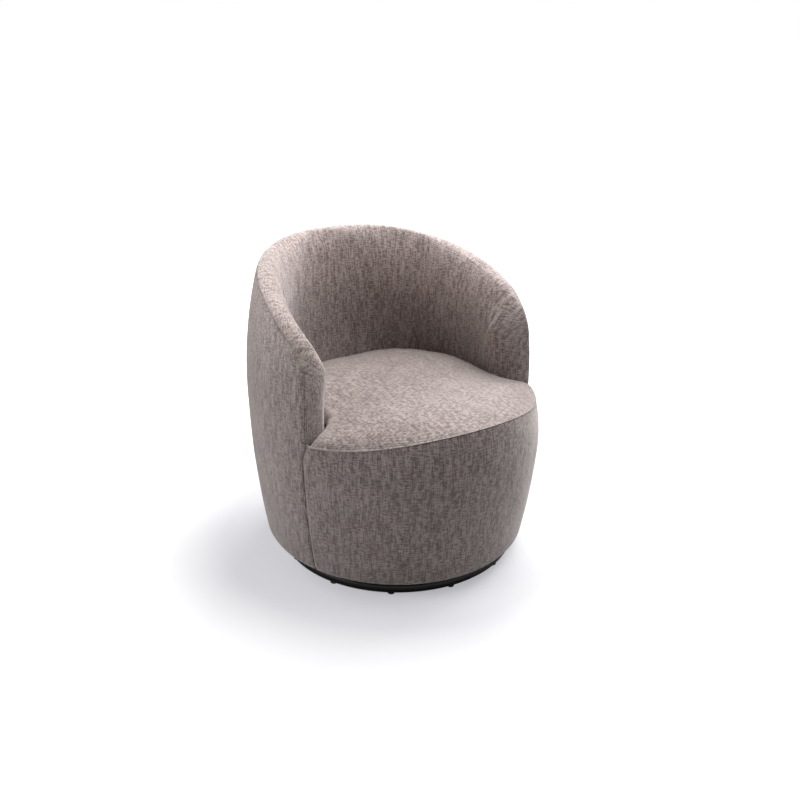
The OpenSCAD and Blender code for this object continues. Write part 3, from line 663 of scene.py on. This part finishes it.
def unrolled(angle, z):
    """Places on the unrolled shell, for distances on the cloth and for its map."""
    return np.stack([np.asarray(angle) * ARC, np.asarray(z)], -1)


def seam_dip(distance, share=1.0, spread=1.0):
    """The narrow groove of a seam and the shallow pull of the cloth beside it."""
    seams = settings().seams
    narrow = np.exp(-((distance / (seams.reach * spread)) ** 1.6))
    return seams.dip * share * (narrow + 0.25 * np.exp(-distance / (4 * seams.reach)))


def cover_piece(name, node, angle, a, z, depth):
    """A cloth on the shell's outside, from its angles, unrolled angles, heights and depths."""
    near, far = on_hull(angle, z, depth), on_hull(angle, z, depth + CLOTH_THICK)
    piece = slab_piece(name, near, far, unrolled(a, z))
    ready(piece, "seat", chenille(), "taupe_fabric", node)
    return piece


# Operators
class ARMCHAIR_OT_outer_cover(bpy.types.Operator):
    """Cloth over the shell's outside, from one arm's front round the back to the other's"""

    bl_idname = "armchair.outer_cover"
    bl_label = "Outer cover"

    def execute(self, context):
        half, half_top = rim_path(spaced((0, 1, 2), (116, 24)))
        angle, top = mirrored(half), mirrored(half_top, 1)
        share = spaced((0, 0.06, 0.93, 1), (9, 96, 18))[:, None]
        z = blend(HEM_Z, top[None, :], share)
        a = np.repeat(angle[None, :], len(share), 0)
        a *= 1 - end_shift(z) / ARM_BACK * (np.abs(a) / ARM_BACK) ** 12
        ends = np.linspace(HEM_Z, CORNER_END_Z, 160)
        edge = unrolled(ARM_BACK - end_shift(ends), ends)
        rim = mirrored(unrolled(*rim_path(spaced((0, 1, 2, 3), (240, 60, 60)))), (-1, 1))
        away = edge_distance(a * ARC, z, np.concatenate([rim, edge, edge * (-1, 1)]))
        slack = SLACK * ripple(a * 0.33, 1.0) * ripple(z * 22, 2.0)
        depth = seam_dip(away) + hem_draw(z) + slack * smooth(away, 0, 0.05)
        piece = cover_piece("outer_cover_cloth", "outer_cover", 180 - a, a, z, depth)
        return {"FINISHED"}


class ARMCHAIR_OT_front_panel(bpy.types.Operator):
    """Cloth of the seat's front, gathered a little where its top seam meets the arms"""

    bl_idname = "armchair.front_panel"
    bl_label = "Front panel"

    def execute(self, context):
        side = np.linspace(-1, 1, 257)
        end = ARM - SEAM_GAP / ARC
        share = spaced((0, 0.08, 0.80, 1), (8, 52, 40))[:, None]
        z = blend(HEM_Z, front_seam_z(side * end)[None, :], share)
        a = side * (end + end_shift(z))
        ends = np.linspace(HEM_Z, SEAM_FOOT_Z, 120)
        edge = unrolled(end + end_shift(ends), ends)
        across = np.linspace(-end, end, 400)
        from_side = edge_distance(a * ARC, z, np.concatenate([edge, edge * (-1, 1)]))
        from_seam = edge_distance(a * ARC, z, unrolled(across, front_seam_z(across)))
        below = np.clip(front_seam_z(a) - z, 0, None)
        fade = np.exp(-below / GATHER_REACH) * (0.25 + 0.75 * smooth(np.abs(a), GATHER_FROM, GATHER_TO))
        folds = ripple(a * ARC / 0.0013 * 0.9, 0.7)
        gather = settings().seams.gather * folds * fade * smooth(from_seam, 0, 0.004)
        slack = SLACK * ripple(a * 0.4, 3.0) * ripple(z * 25, 1.0)
        depth = (panel_depth(a, z) + seam_dip(from_side, 1.4, 1.2) + seam_dip(from_seam, 0.6) + hem_draw(z)
                 + slack * smooth(from_side, 0, 0.04) - gather)
        piece = cover_piece("front_panel_cloth", "front_panel", a, a, z, depth)
        return {"FINISHED"}


def pad_surface(t, foot):
    """The visible face of a pad: rows over the roll and down the wall, columns along t. It gives
    the points' back angle, height, depth and map of the cloth."""
    across, up = rim_normal(t)
    n, roll_depth = roll_place(t, roll_profile(ROLL_ROWS)[:, None])
    roll_depth = np.maximum(roll_depth, SEAM_GAP)
    a, z = rim_place(t[None, :], n)
    step = np.hypot(np.diff(n, axis=0), np.diff(roll_depth, axis=0))
    length = np.concatenate([np.cumsum(step[::-1], axis=0)[::-1], np.zeros((1, len(t)))])
    length = length * (1 - 0.4 * smooth(t, 0.8, 1.3) * (1 - smooth(t, 1.7, 2.2)))
    flat = np.stack([a[-1] * ARC + across * length, z[-1] + up * length], -1)
    f = (np.linspace(0, 1, WALL_ROWS) ** 1.05)[1:, None]
    a_wall = blend(a[-1], foot, f)
    z_wall = blend(z[-1], PAD_FOOT_Z, f)
    depth = np.concatenate([roll_depth, wall_depth(t, z_wall)])
    flat = np.concatenate([flat, unrolled(a_wall, z_wall)])
    return np.concatenate([a, a_wall]), np.concatenate([z, z_wall]), depth, flat


class ARMCHAIR_OT_pads(bpy.types.Operator):
    """The inner back pad and the two arm pads, which roll over the rim"""

    bl_idname = "armchair.pads"
    bl_label = "Inner pads"

    def pad(self, name, node, t, side, foot):
        """side is +1 or -1 for an arm; for the back pad it is an array, the sign of each column."""
        a, z, depth, flat = pad_surface(t, foot)
        rim = unrolled(*rim_path(np.linspace(0, 3, 900)))
        on_roll = np.arange(len(a))[:, None] < ROLL_ROWS
        from_rim = np.where(on_roll, edge_distance(a * ARC, z, rim) + depth, 1.0)
        from_inner = np.abs(a - INNER_SEAM) * ARC
        beside = np.exp(-((from_inner - PULL_AWAY) / PULL_REACH) ** 2)
        pull = PULL * beside * np.clip(ripple(z / 0.0042), 0, 1)
        pull *= smooth(z, 0.38, 0.41) * (1 - smooth(z, 0.44, 0.50))
        depth_in = depth + seam_dip(from_rim, 0.7) + seam_dip(from_inner, 0.2, 0.8) + pull
        sign = side * np.ones_like(a)
        near = on_hull(sign * (180 - a), z, depth_in)
        across, up = rim_normal(t)
        sunk = PAD_SUNK * (1 - smooth(depth, 0.02, 0.08))
        a_far, z_far = a - np.degrees(sunk * across / BELLY_R), z - sunk * up
        far = on_hull(sign * (180 - a_far), z_far, np.clip(depth_in - PAD_THICK, *PAD_BACK))
        piece = slab_piece(name, near, far, flat * np.stack([sign, np.ones_like(sign)], -1))
        held = np.ones((2, *a.shape), bool)
        held[0, 2:-6, 2:-2] = False
        swollen(piece, held.ravel(), settings().cloth.swell)
        ready(piece, "seat", chenille(), "taupe_fabric", node)

    def execute(self, context):
        turn = np.linspace(-1, 1, 87) * INNER_SEAM
        back_t, signs = np.abs(turn) / CORNER_START, -np.sign(turn + TINY)
        self.pad("back_pad_cloth", "back_pad", back_t, signs, np.abs(turn))
        t = spaced((INNER_SEAM / CORNER_START, 1, 2, 3), (44, 20, 34))
        foot_back = ARM_BACK - (FRONT_DROP + 0.012) / ARC
        share = (rim_path(t)[0] - INNER_SEAM) / (CORNER_START - INNER_SEAM)
        foot = np.where(t <= 1, blend(INNER_SEAM, foot_back - 8, share), foot_back - 8 + 8 * (t - 1) / 2)
        self.pad("left_arm_pad_cloth", "left_arm_pad", t, 1.0, foot)
        self.pad("right_arm_pad_cloth", "right_arm_pad", t, -1.0, foot)
        return {"FINISHED"}


def eased(line, rounds):
    """A closed line after rounds of smoothing."""
    for _ in range(rounds):
        line = (np.roll(line, 1, 0) + 2 * line + np.roll(line, -1, 0)) / 4
    return line


def seat_outline(count):
    """The seat's edge as even steps: points, how far the top rolls down there, and over what width."""
    front_end = ARM - (ARM_GAP + 0.001) / ARC
    a = np.linspace(-front_end, front_end, 400)
    z = front_seam_z(a)
    front = polar(a, hull_radius(a, z) - seam_inset(a), z)
    length = spaced((-ARM_GAP, 0.03, (180 - ARM) * ARC), (60, 340))
    b = ARM + length / ARC
    half = polar(b, hull_radius(b, SEAM_FOOT_Z) - wall_face(length) - WALL_GAP, 0.0)
    half[:, 2] = crown(half[:, 0], half[:, 1]) - TUCK
    rest = np.concatenate([half, (half * (-1, 1, 1))[::-1][1:]])
    loop = np.concatenate([front, rest, front[:1]])
    steps = np.linalg.norm(np.diff(loop, axis=0), axis=1)
    place = np.concatenate([[0], np.cumsum(steps)])
    even = np.linspace(0, place[-1], count, endpoint=False)
    line = np.stack([np.interp(even, place, loop[:, k]) for k in range(3)], 1)
    front_share = np.concatenate([np.ones(len(front)), np.zeros(len(rest)), [1.0]])
    at_front = np.interp(even, place, front_share)
    corner = smooth(np.abs(np.degrees(np.arctan2(line[:, 0], -line[:, 1]))), 40, 64)
    line = eased(line, 3)
    reach = 6
    ringed = np.concatenate([at_front[-reach:], at_front, at_front[:reach]])
    at_front = np.convolve(ringed, np.ones(2 * reach + 1) / (2 * reach + 1), "valid")
    drop = crown(line[:, 0], line[:, 1]) - line[:, 2]
    return line, drop, blend(BACK_ROLL, blend(FRONT_ROLL, CORNER_ROLL, corner), at_front)


def square_rings(side):
    """For the points of a square grid: the ring that each is on, from 0 in the middle to 1 at the
    border, and its place round the ring as a border point's number."""
    u, v = np.meshgrid(*[np.linspace(-1, 1, side + 1)] * 2, indexing="ij")
    reach = np.maximum(np.abs(u), np.abs(v))
    safe = np.maximum(reach, TINY)
    quarter = np.select(
        [v <= -reach + TINY, u >= reach - TINY, v >= reach - TINY],
        [(u / safe + 1) / 2, 1 + (v / safe + 1) / 2, 2 + (1 - u / safe) / 2], 3 + (1 - v / safe) / 2)
    return reach, (quarter * side) % (4 * side)


def seat_roll(spot, line, drop, width):
    """How far into the roll along the seat's edge each spot is, from 0 to 1, and the drop there."""
    gap, fall, wide = np.zeros((3, len(spot)))
    for start in range(0, len(spot), 2048):
        some = slice(start, start + 2048)
        away = np.linalg.norm(spot[some, None] - line[None, :, :2], axis=2)
        weight = np.exp(-away / ROLL_BLEND + away.min(1, keepdims=True) / ROLL_BLEND)
        weight /= weight.sum(1, keepdims=True)
        gap[some], fall[some], wide[some] = away.min(1), weight @ drop, weight @ width
    return np.clip(1 - gap / wide, 0, 1), fall


class ARMCHAIR_OT_seat(bpy.types.Operator):
    """The tight padded seat, crowned, rolled down to the front seam and tucked in behind"""

    bl_idname = "armchair.seat"
    bl_label = "Seat"

    def top(self, line, drop, width, reach, station):
        """The points of the seat's top, in rings that follow its edge more and more outwards."""
        count = len(line)
        low = np.floor(station).astype(int) % count
        part = (station - np.floor(station))[..., None]
        ring = 1 - (1 - reach) ** 1.12
        share = smooth(ring, 0.25, 0.95)[..., None]
        out, inner = [each[low, :2] * (1 - part) + each[(low + 1) % count, :2] * part
                      for each in (line, eased(line, 400))]
        spot = (ring[..., None] * (inner * (1 - share) + out * share)).reshape(-1, 2)
        near_edge, fall = seat_roll(spot, line, drop, width)
        x, y = spot.T
        z = crown(x, y) - fall * near_edge**2.2
        z += 0.0010 * ripple(x * 16, 1.0) * ripple(y * 14, 2.0) * (1 - near_edge)
        return np.concatenate([spot, z[:, None]], 1)

    def execute(self, context):
        count = 4 * SEAT_SIDE
        line, drop, width = seat_outline(count)
        reach, station = square_rings(SEAT_SIDE)
        top = self.top(line, drop, width, reach, station)
        outward = line[:, :2] / np.linalg.norm(line[:, :2], axis=1, keepdims=True)
        sides = [np.column_stack([line[:, :2] - outward * inset, line[:, 2] - down])
                 for down, inset in SEAT_STEPS]
        sides.append(sides[-1] * (1, 1, 0) + (0, 0, SEAT_UNDER_Z))
        under = top * (UNDER_SHARE, UNDER_SHARE, 0) + (0, 0, SEAT_UNDER_Z)
        points = np.concatenate([top] + sides + [under])
        size = len(top)
        under_start = size + len(sides) * count
        faces = grid_faces(SEAT_SIDE + 1, SEAT_SIDE + 1)
        faces += flipped(faces, under_start)
        edge = grid_border(np.arange(size).reshape(SEAT_SIDE + 1, -1).T)
        starts = size + count * np.arange(len(sides))
        loops = [edge] + [start + np.arange(count) for start in starts] + [edge + under_start]
        for upper, lower in zip(loops, loops[1:]):
            faces += band(upper, lower)
        cloth_map = points[:, :2].copy()
        cloth_map[:, 1] -= 0.6 * (CROWN_Z - points[:, 2])
        piece = mesh_piece("seat_cushion", points, faces, cloth_map)
        held = np.ones(len(points), bool)
        held[:size] = (reach > 1 - 3 / SEAT_SIDE).ravel()
        swollen(piece, held, settings().cloth.swell)
        stroked = chenille("stroked_chenille", 0.55, 0.75, 1.1, painted_light_by_height=False)
        ready(piece, "seat", stroked, "taupe_fabric", "seat_cover", "seat_foam")
        return {"FINISHED"}


def growth(name, **inputs):
    """A node tree for what grows along a path, and its named inputs."""
    nodes = Nodes(bpy.data.node_groups.new(name, "GeometryNodeTree"))
    for key, kind in inputs.items():
        nodes.tree.interface.new_socket(key, in_out="INPUT", socket_type="NodeSocket" + kind)
    nodes.tree.interface.new_socket("Mesh", in_out="OUTPUT", socket_type="NodeSocketGeometry")
    start = nodes.tree.nodes.new("NodeGroupInput")
    return nodes, {key: Number(nodes, start.outputs[key]) for key in inputs}


def grown_end(nodes, made, material):
    """Ends a node tree with real geometry in its material."""
    real = nodes.node("GeometryNodeRealizeInstances", {"Geometry": made})
    paint = nodes.node("GeometryNodeSetMaterial", {"Geometry": real, "Material": material})
    nodes.feed(nodes.tree.nodes.new("NodeGroupOutput"), "Mesh", paint)
    return nodes.tree


def tube_tree(name):
    """A node tree that sweeps a round thread along a curve."""
    nodes, given = growth(name, Path="Geometry", Radius="Float", Material="Material")
    circle = nodes.node("GeometryNodeCurvePrimitiveCircle", {"Resolution": 8, "Radius": given["Radius"]})
    sweep = nodes.node("GeometryNodeCurveToMesh", {
        "Curve": given["Path"], "Profile Curve": circle, "Fill Caps": True})
    return grown_end(nodes, sweep, given["Material"])


def repeat_tree(name):
    """A node tree that lays copies of a small piece along a curve, turned to follow it."""
    nodes, given = growth(name, Path="Geometry", Spacing="Float", Piece="Object", Unevenness="Float",
                          Seed="Int", Material="Material")
    along = nodes.node("GeometryNodeCurveToPoints", {
        "Curve": given["Path"], "Length": given["Spacing"]}, "Points", mode="LENGTH")
    turned = Number(nodes, along.socket.node.outputs["Rotation"])
    source = nodes.node("GeometryNodeObjectInfo", {"Object": given["Piece"]}, "Geometry")
    least, most = 1.0 - given["Unevenness"], 1.0 + given["Unevenness"]
    size = nodes.node("FunctionNodeRandomValue", {2: least, 3: most, "Seed": given["Seed"]}, 1,
                      data_type="FLOAT")
    copies = nodes.node("GeometryNodeInstanceOnPoints", {
        "Points": along, "Instance": source, "Rotation": turned, "Scale": size})
    return grown_end(nodes, copies, given["Material"])


def grown(name, body, slot, material, tree, lines, closed=False, **inputs):
    """A plain mesh piece, made by a node tree along lines of points."""
    curve = bpy.data.curves.new(name + "_path", "CURVE")
    curve.dimensions = "3D"
    for line in lines:
        spline = curve.splines.new("POLY")
        spline.points.add(len(line) - 1)
        spline.points.foreach_set("co", np.concatenate([line, np.ones((len(line), 1))], 1).ravel())
        spline.use_cyclic_u = closed
    path = added(name + "_path", curve)
    step = path.modifiers.new("grow", "NODES")
    step.node_group = tree
    sockets = {s.name: s.identifier for s in tree.interface.items_tree if s.in_out == "INPUT"}
    for key, value in {**inputs, "Material": material}.items():
        step[sockets[key]] = value
    mesh = result_mesh(path)
    mesh.name = name
    bpy.data.objects.remove(path)
    if not len(mesh.polygons):
        raise RuntimeError(f"{name} came out empty")
    piece = added(name, mesh)
    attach(piece, body)


def laid(name, body, slot, material, copy, spacing, unevenness, seed, lines, closed=False):
    """Copies of a small piece, laid along lines of points and kept as one piece."""
    grown(name, body, slot, material, repeat_tree(name), lines, closed,
          Spacing=spacing, Piece=copy, Unevenness=unevenness, Seed=seed)
    bpy.data.objects.remove(copy)


def capsule(name, length, radius, sides=6):
    """A short thread with drawn-in ends, along Z, for stitches."""
    points = []
    for share, thick in ((-0.5, 0.25), (-0.38, 0.85), (0.0, 1.0), (0.38, 0.85), (0.5, 0.25)):
        bow = radius * 0.8 * (1 - (2 * share) ** 2)
        for k in range(sides):
            a = 2 * math.pi * k / sides
            x, y = thick * radius * math.cos(a) + bow, thick * radius * math.sin(a)
            points.append((x, y, share * length))
    faces = grid_faces(5, sides, wrap=True)
    faces += [tuple(range(sides - 1, -1, -1)), tuple(4 * sides + k for k in range(sides))]
    return mesh_piece(name, points, faces)


class ARMCHAIR_OT_seams(bpy.types.Operator):
    """The folded edge along the front seam and the stitches in the seams"""

    bl_idname = "armchair.seams"
    bl_label = "Seams"

    def execute(self, context):
        seams = settings().seams
        shades = [[min(1, c * gain) for c in seams.thread_colour] for gain in (0.7, 1.25)]
        thread = finish("sewing_thread", *shades, (900.0,), (0.0003,), Roughness=0.7, Sheen_Weight=0.2)
        fold = finish("folded_edge", (0.28, 0.24, 0.22), (0.52, 0.46, 0.43), (600.0, 3.0), (0.0006,),
                      Roughness=0.9, Sheen_Weight=0.5, Sheen_Roughness=0.5)
        end = ARM - 0.009 / ARC
        a = np.linspace(-end, end, 300)
        wave = 0.0005 * ripple(a * 2.2, 2.0)
        line = on_hull(a, front_seam_z(a) + 0.0004 + wave, seam_inset(a) + 0.0003 - wave)
        grown("front_seam_fold", "seat", "taupe_fabric", fold, tube_tree("fold"), [line], Radius=FOLD_RADIUS)
        rim_a, rim_z = rim_path(spaced((0, 1, 2, 2.6), (300, 80, 50)))
        rows = [mirrored(on_hull(180 - rim_a, rim_z, 0.0022), (-1, 1, 1))]
        z = np.linspace(0.36, 0.54, 120)
        depth = wall_depth(np.full(len(z), INNER_SEAM / CORNER_START), z) + 0.0008
        rows += [on_hull(sign * (180 - INNER_SEAM + 0 * z), z, depth) for sign in (1, -1)]
        stitch = capsule("stitch", seams.stitch * 0.72, seams.thread)
        laid("seam_stitches", "seat", "taupe_fabric", thread, stitch, seams.stitch, 0.08, 3, rows)
        return {"FINISHED"}


class ARMCHAIR_OT_base(bpy.types.Operator):
    """Finishes of the ring, the cross tubes and the glides, with the ripples of the welds"""

    bl_idname = "armchair.base"
    bl_label = "Base"

    def weld_lines(self):
        """The welds' paths: two up the sides of each end of the cross and one over its top."""
        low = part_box("cross_tube")[0].z
        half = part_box("cross_stubs")[1].x
        lines = []
        for turn in range(4):
            c, s = round(math.cos(turn * math.pi / 2)), round(math.sin(turn * math.pi / 2))
            spin = np.array([(c, -s, 0), (s, c, 0), (0, 0, 1)])
            z = np.linspace(low + 0.001, RING_Z + 0.010, 24)
            bulge = np.sqrt(np.maximum(RING_TUBE**2 - (z - RING_Z) ** 2, 0))
            x = np.sqrt(RING_R**2 - half**2) - bulge - 0.0008
            y = np.linspace(-half, half, 40)
            local = [np.stack([x, 0 * x + side * (half + 0.0010), z], 1) for side in (-1, 1)]
            local.append(np.stack([0 * y + RING_R + 0.0006, y, 0 * y + RING_Z + RING_TUBE], 1))
            lines += [line @ spin.T + (0, AXIS_Y, 0) for line in local]
        return lines

    def execute(self, context):
        coat = tuple(settings().base.coat)
        powder = finish("black_powder_coat", coat, [c * 1.8 for c in coat], (28.0, 4.0, 0.65),
                        (0.00018, 0.35), (900.0,), (0.30, 0.16), Roughness=0.30, Specular_IOR_Level=0.25)
        plastic = finish("glide_plastic", (0.012, 0.012, 0.012), (0.040, 0.039, 0.037), (60.0, 5.0, 0.7),
                         (0.0001, 0.3), (1500.0,), (0.45, 0.25), Roughness=0.55)
        finish_nodes(powder, "base_ring", "cross_tube", "cross_stubs")
        finish_nodes(plastic, "glide_feet")
        weld = capsule("weld_ripple", 0.0036, 0.0022, 8)
        laid("weld_beads", "base", "black_steel", powder, weld, 0.0016, 0.12, 5, self.weld_lines())
        return {"FINISHED"}


class ARMCHAIR_OT_underside(bpy.types.Operator):
    """The cloth turned under the hem, the dust cover with its staples, and all that is zinc plated"""

    bl_idname = "armchair.underside"
    bl_label = "Underside"

    def execute(self, context):
        turn = np.linspace(0, 360, 360, endpoint=False)
        inset = np.array([0.0042, 0.0075, 0.0120, 0.0200, 0.0300, 0.0350])
        drop = np.array([0.0000, 0.0012, 0.0014, 0.0012, 0.0010, 0.0004])
        pleat = 0.0004 * ripple(turn * 1.9, 0.4)
        near = np.stack([on_hull(turn, HEM_Z + 0 * turn, i) for i in inset])
        near[..., 2] -= drop[:, None] + pleat * (np.arange(len(inset)) > 1)[:, None]
        points = np.concatenate([near, near + (0, 0, HEM_UNDER)]).reshape(-1, 3)
        around, size = np.arange(len(turn)), len(points) // 2
        faces = grid_faces(len(inset), len(turn), wrap=True)
        faces += flipped(faces, size)
        last = around + size - len(turn)
        faces += band(around[::-1], around[::-1] + size) + band(last, last + size)
        x, y = points[:, 0], points[:, 1]
        flat = np.stack([np.arctan2(x, -y) * BELLY_R, np.hypot(x, y)], 1)
        piece = mesh_piece("hem_turn", points, faces, flat)
        # This map's second axis is the radius, below 0.42, so the cloth's painted height shade darkens it
        # throughout.
        ready(piece, "seat", chenille(), "taupe_fabric")
        finish_nodes(felt("dust_cloth", (0.008, 0.008, 0.009), (0.030, 0.030, 0.032), 500.0), "dust_cover")
        steel = zinc()
        staple = capsule("staple", 0.010, 0.0005)
        line = on_hull(turn, HEM_Z - HEM_UNDER + 0 * turn, 0.0315)
        gap = settings().base.staple_gap
        laid("hem_staples", "seat", "zinc_steel", steel, staple, gap, 0.04, 7, [line], closed=True)
        finish_nodes(steel, "lower_swivel_plate", "upper_swivel_plate", "lower_plate_bolts",
                     "lower_plate_nuts", "swivel_pivot", "ball_cage", "bearing_balls",
                     "upper_plate_bolts", "tee_nuts", "seat_springs", "spring_clips")
        return {"FINISHED"}


class ARMCHAIR_OT_inner_frame(bpy.types.Operator):
    """Finishes of the wooden frame, the linings and the felt inside the shell"""

    bl_idname = "armchair.inner_frame"
    bl_label = "Inner frame"

    def execute(self, context):
        board = finish("hardboard", (0.16, 0.09, 0.045), (0.36, 0.24, 0.14), (420.0, 4.0, 0.7),
                       (0.0003, 0.4), Roughness=0.8)
        grey = felt("grey_felt", (0.07, 0.07, 0.065), (0.19, 0.19, 0.18), 300.0)
        finish_nodes(plywood(), "bottom_board", "lower_ribs", "seat_rail", "front_rail", "back_ribs",
                     "left_arm_ribs", "right_arm_ribs", "left_arm_post", "right_arm_post",
                     "back_rim_rail", "left_rim_rail", "right_rim_rail")
        finish_nodes(board, "outer_lining", "front_lining")
        finish_nodes(grey, "spring_pad")
        return {"FINISHED"}


# The camera's place and aim, then the lights: each one's name, its turn from the front and height
# in degrees, and its power in watts
CAMERA, CAMERA_AIM, SENSOR = (-1.2424, -1.8730, 1.3144), (0.0125, -0.0084, 0.3393), 36.0
LIGHT_AIM, LIGHT_AWAY, LIGHT_SIZE = (0, 0, 0.35), 2.6, 1.3
LIGHTS = (
    ("back_left", -150, 25, 20.0), ("left", -100, 25, 23.0), ("right", 100, 25, 36.0),
    ("high_back_right", 130, 50, 56.0), ("high_right", 60, 65, 36.0), ("front_right", 20, 55, 9.0))
FLOOR_REACH, SHADE_REACH, SHADE_FADE = 30.0, 0.40, 2.4
WHITE = (1.0, 1.0, 1.0)


class ARMCHAIR_OT_stage(bpy.types.Operator):
    """The camera, the soft lights, the pale floor and the white background"""

    bl_idname = "armchair.stage"
    bl_label = "Stage"

    def area(self, name, turn, height, power):
        """A soft square light aimed at the chair, turned from the front and raised by the angles."""
        light = bpy.data.lights.new(name, "AREA")
        light.shape, light.size, light.energy = "SQUARE", LIGHT_SIZE, power
        way = Vector(polar(turn, math.cos(math.radians(height)), math.sin(math.radians(height))))
        made = added(name, light)
        made.location = Vector(LIGHT_AIM) + way * LIGHT_AWAY
        made.rotation_euler = way.to_track_quat("Z", "Y").to_euler()

    def world(self, fill):
        """A world that looks white and gives no more light than the fill."""
        world = bpy.data.worlds.new("studio")
        bpy.context.scene.world = world
        world.use_nodes = True
        nodes = Nodes(world.node_tree)
        nodes.tree.nodes.clear()
        camera, glossy, through = [nodes.node("ShaderNodeLightPath", output=f"Is {ray} Ray")
                                   for ray in ("Camera", "Glossy", "Transmission")]
        seen = camera.math("MAXIMUM", camera.math("MAXIMUM", camera, glossy), through)
        dim, white = [nodes.node("ShaderNodeBackground", {"Color": rgba(WHITE), "Strength": strength})
                      for strength in (fill, 1.0)]
        look = nodes.node("ShaderNodeMixShader", {0: seen, 1: dim, 2: white})
        nodes.feed(nodes.tree.nodes.new("ShaderNodeOutputWorld"), "Surface", look)

    def floor(self, glow):
        """A floor that looks white, but for a soft shade round the chair."""
        mesh = bpy.data.meshes.new("floor")
        corners = [(x * FLOOR_REACH, y * FLOOR_REACH, 0) for x, y in ((-1, -1), (1, -1), (1, 1), (-1, 1))]
        mesh.from_pydata(corners, [], [(0, 1, 2, 3)])
        floor = added("floor", mesh)
        s = Shader("pale_floor", Base_Color=(0.50, 0.50, 0.505, 1.0), Roughness=0.9,
                   Specular_IOR_Level=0.0, Emission_Strength=1.0)
        away = s.node("ShaderNodeVectorMath", {0: s.place()}, 1, operation="LENGTH")
        far = ((away - SHADE_REACH) * SHADE_FADE).clamp()
        s.put("Emission Color", s.mix(far, (glow, glow, glow * 1.06), WHITE))
        bounce = s.node("ShaderNodeBsdfDiffuse", {"Color": (0.62, 0.62, 0.63, 1.0)})
        seen = s.node("ShaderNodeLightPath", output="Is Camera Ray")
        look = s.node("ShaderNodeMixShader", {0: seen, 1: bounce, 2: Number(s, s.surface.outputs[0])})
        s.feed(s.tree.nodes["Material Output"], "Surface", look)
        mesh.materials.append(s.material)

    def execute(self, context):
        stage = settings().stage
        scene = bpy.context.scene
        scene.view_settings.view_transform = "Standard"
        camera = bpy.data.cameras.new("camera")
        camera.lens, camera.sensor_width = stage.lens, SENSOR
        view = added("camera", camera)
        view.location = CAMERA
        view.rotation_euler = (Vector(CAMERA_AIM) - view.location).to_track_quat("-Z", "Y").to_euler()
        scene.camera = view
        for name, turn, height, power in LIGHTS:
            self.area(name, turn, height, power * stage.key)
        self.world(stage.fill)
        self.floor(stage.glow)
        return {"FINISHED"}


OPERATORS = (
    ARMCHAIR_OT_stage, ARMCHAIR_OT_outer_cover, ARMCHAIR_OT_front_panel, ARMCHAIR_OT_pads, ARMCHAIR_OT_seat,
    ARMCHAIR_OT_seams, ARMCHAIR_OT_base, ARMCHAIR_OT_underside, ARMCHAIR_OT_inner_frame)


class VIEW3D_PT_armchair(bpy.types.Panel):
    """Lists the chair's settings and the steps that make it"""

    bl_label = "Armchair"
    bl_idname = "VIEW3D_PT_armchair"
    bl_space_type = "VIEW_3D"
    bl_region_type = "UI"
    bl_category = "Armchair"

    def draw(self, context):
        chair = context.scene.armchair
        for group in (chair.cloth, chair.seams, chair.base, chair.stage):
            column = self.layout.column()
            for name in group.__annotations__:
                column.prop(group, name)
        for operator in OPERATORS:
            self.layout.operator(operator.bl_idname)


SETTINGS = (ClothSettings, SeamSettings, BaseSettings, StageSettings, ArmchairSettings)
CLASSES = (*SETTINGS, *OPERATORS, VIEW3D_PT_armchair)


def register():
    for each in CLASSES:
        bpy.utils.register_class(each)
    bpy.types.Scene.armchair = bpy.props.PointerProperty(type=ArmchairSettings)


def unregister():
    del bpy.types.Scene.armchair
    for each in reversed(CLASSES):
        bpy.utils.unregister_class(each)


def main():
    register()
    for operator in OPERATORS:
        getattr(bpy.ops.armchair, operator.bl_idname.split(".")[1])()


if __name__ == "__main__":
    main()
